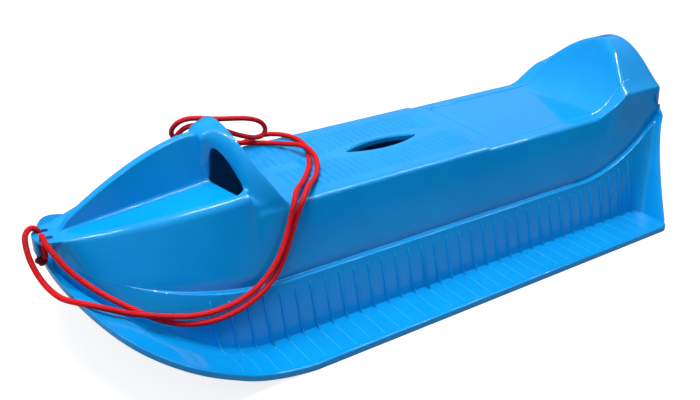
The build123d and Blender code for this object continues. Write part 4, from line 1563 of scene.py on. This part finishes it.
def stem_row(z):
    """A bowed slice of the stem, from wall to wall."""
    half = wall_y(STEM_X, z)
    angles = spread(-pi / 2, pi / 2, 0.16)
    return [(STEM_X + STEM_BULGE * cos(angle), half * sin(angle), z) for angle in angles]


stem_rows = [stem_row(z) for z in spread(foot_z(STEM_X) - 3.0, 178.5, 8.0)]
stem = thicken(skin("stem", stem_rows), STEM_WALL)
only(nose)
stem.select_set(True)
bpy.ops.object.join()
settle(bpy.context.object, "tow_nose", plain_shell)

# %% [markdown]
# ## Foot pan
# The pan is a wide tray round the beam. Its rim is a raised bead, and at the bow the tray curls up
# and its middle is dished below the rim. At the bow its outline is a smooth line through a few
# places, like a batten bent round nails.

# %% Pan outline
BOW_POINTS = 90
BOARD_Y, STERN_BOARD_Y = 243.0, 239.0
CORNER_RADIUS = 16.0
FOOT_TUCK = 5.0


def along(points, count):
    """Points spaced evenly along a smooth line through the given ones."""
    points = [Vector(point) for point in points]
    points = [points[0] * 2 - points[1]] + points + [points[-1] * 2 - points[-2]]
    fine = []
    for a, b, c, d in zip(points, points[1:], points[2:], points[3:]):
        slope, bend, twist = c - a, 2 * a - 5 * b + 4 * c - d, 3 * b - a - 3 * c + d
        for step in range(12):
            t = step / 12
            fine.append(0.5 * (2 * b + slope * t + bend * t * t + twist * t ** 3))
    fine.append(points[-2])
    return [Vector(p) for p in counted([(*p, 0.0) for p in fine], count)]


def evened(line, rounds):
    """The line eased: each inner point moves half way to the middle between its neighbours."""
    for _ in range(rounds):
        inner = [b * 0.5 + (a + c) * 0.25 for a, b, c in zip(line, line[1:], line[2:])]
        line = [line[0]] + inner + [line[-1]]
    return line


def bow_outline():
    """The port half of the pan's outline round the bow, from the board to the middle."""
    port = [
        (RAMP_X, BOARD_Y), (290.0, 240.8), (325.0, 240.6), (362.0, 243.6), (398.0, 246.8),
        (421.0, 246.6), (445.0, 241.0), (465.0, 231.0), (483.0, 217.5), (500.0, 196.5),
        (513.0, 170.0), (524.0, 137.0), (533.0, 99.0), (539.5, 61.0), (543.0, 24.0), (543.6, 0.0),
    ]
    return evened(along(port, BOW_POINTS), 12)


def bow_foot():
    """The port half of the beam's foot round the bow, where the pan's sheet ends under it."""
    port = [(x, max(foot_y(x) - FOOT_TUCK, 0.0)) for x in spread(RAMP_X, 520.0, 6.0)]
    port += [(526.0, foot_y(526.0) * 0.8), (529.0, 0.0)]
    return along(port, BOW_POINTS)


def board_y(x):
    """Half width of the boards, which grow wider towards the bow and have a rounded rear corner."""
    corner = CORNER_RADIUS - min(x - PAN_STERN_X + 1.0, CORNER_RADIUS)
    inset = CORNER_RADIUS - sqrt(CORNER_RADIUS ** 2 - corner ** 2)
    ahead = (x - PAN_STERN_X) / (RAMP_X - PAN_STERN_X)
    return STERN_BOARD_Y + (BOARD_Y - STERN_BOARD_Y) * ahead - inset * 0.7


print("board half width", board_y(PAN_STERN_X + CORNER_RADIUS), "to", board_y(RAMP_X))

# %% [markdown]
# Rows run along the outline and their points run in from the rim to the beam's foot. Each point's
# height is the height of the rim there, less the bead, the groove inside the band and the drop into
# the dish.

# %% Pan sheet
BEAD_FALL, GROOVE_MARGIN, BAND_GROOVE = 1.1, 53.0, 1.6
EDGE_MARGINS = [
    (0.0, -9.7), (0.0, -6.0), (0.0, -2.4), (0.35, -1.1), (1.1, -0.35), (2.3, 0.0), (3.2, 0.0)
]
MARGINS = [4.2, 5.2, 6.2, 7.4, 12.0, 22.0, 34.0, 44.0, 48.0, 50.0]
MARGINS += [51.5, 52.5, 53.5, 54.5, 56.0, 57.5, 59.0, 60.5, 62.0]


def rim_z(x):
    return RIM_HEIGHT + ramp(x)


def pan_z(x, margin):
    """The pan's height at a margin in from its rim."""
    band = rim_z(x) - BEAD_FALL * ease(3.0, 7.0, margin)
    dish = foot_z(x) - BEAD_FALL
    curl = ease(255.0, 330.0, x)
    groove = BAND_GROOVE * curl * exp(-((margin - GROOVE_MARGIN) / 2.2) ** 2)
    return band + (dish - band) * ease(54.0, 61.0, margin) - groove


def pan_row(outside, inside):
    """One row, from a place on the rim to one on the beam's foot. Where the pan is narrow, as
    under the nose, its bead, band and groove are squeezed together."""
    width = (inside - outside).length
    squeeze = min(width / 75.0, 1.0) / width
    points = []
    for margin, drop in EDGE_MARGINS:
        place = outside.lerp(inside, margin * squeeze)
        points.append((place.x, place.y, rim_z(place.x) + drop))
    for margin in MARGINS:
        place = outside.lerp(inside, margin * squeeze)
        points.append((place.x, place.y, pan_z(place.x, margin)))
    last = outside.lerp(inside, MARGINS[-1] * squeeze)
    for share in (0.12, 0.3, 0.5, 0.75, 1.0):
        place = last.lerp(inside, share)
        points.append((place.x, place.y, foot_z(place.x) - BEAD_FALL))
    return points


board_places = [PAN_STERN_X - 1.0 + step for step in (0.0, 0.8, 2.0, 4.0, 6.5, 9.5, 13.0)]
board_places += spread(PAN_STERN_X + 15.0, RAMP_X, 15.0)
board_rows = [
    pan_row(Vector((x, board_y(x), 0.0)), Vector((x, foot_y(x) - FOOT_TUCK, 0.0)))
    for x in board_places
]
both_sides("running_board", board_plastic, board_rows)
shovel_rows = [pan_row(outside, inside) for outside, inside in zip(bow_outline(), bow_foot())]
halves = [skin("shovel", shovel_rows), skin("shovel", to_starboard(shovel_rows))]
settle(thicken(joined(halves)), "bow_shovel", board_plastic)
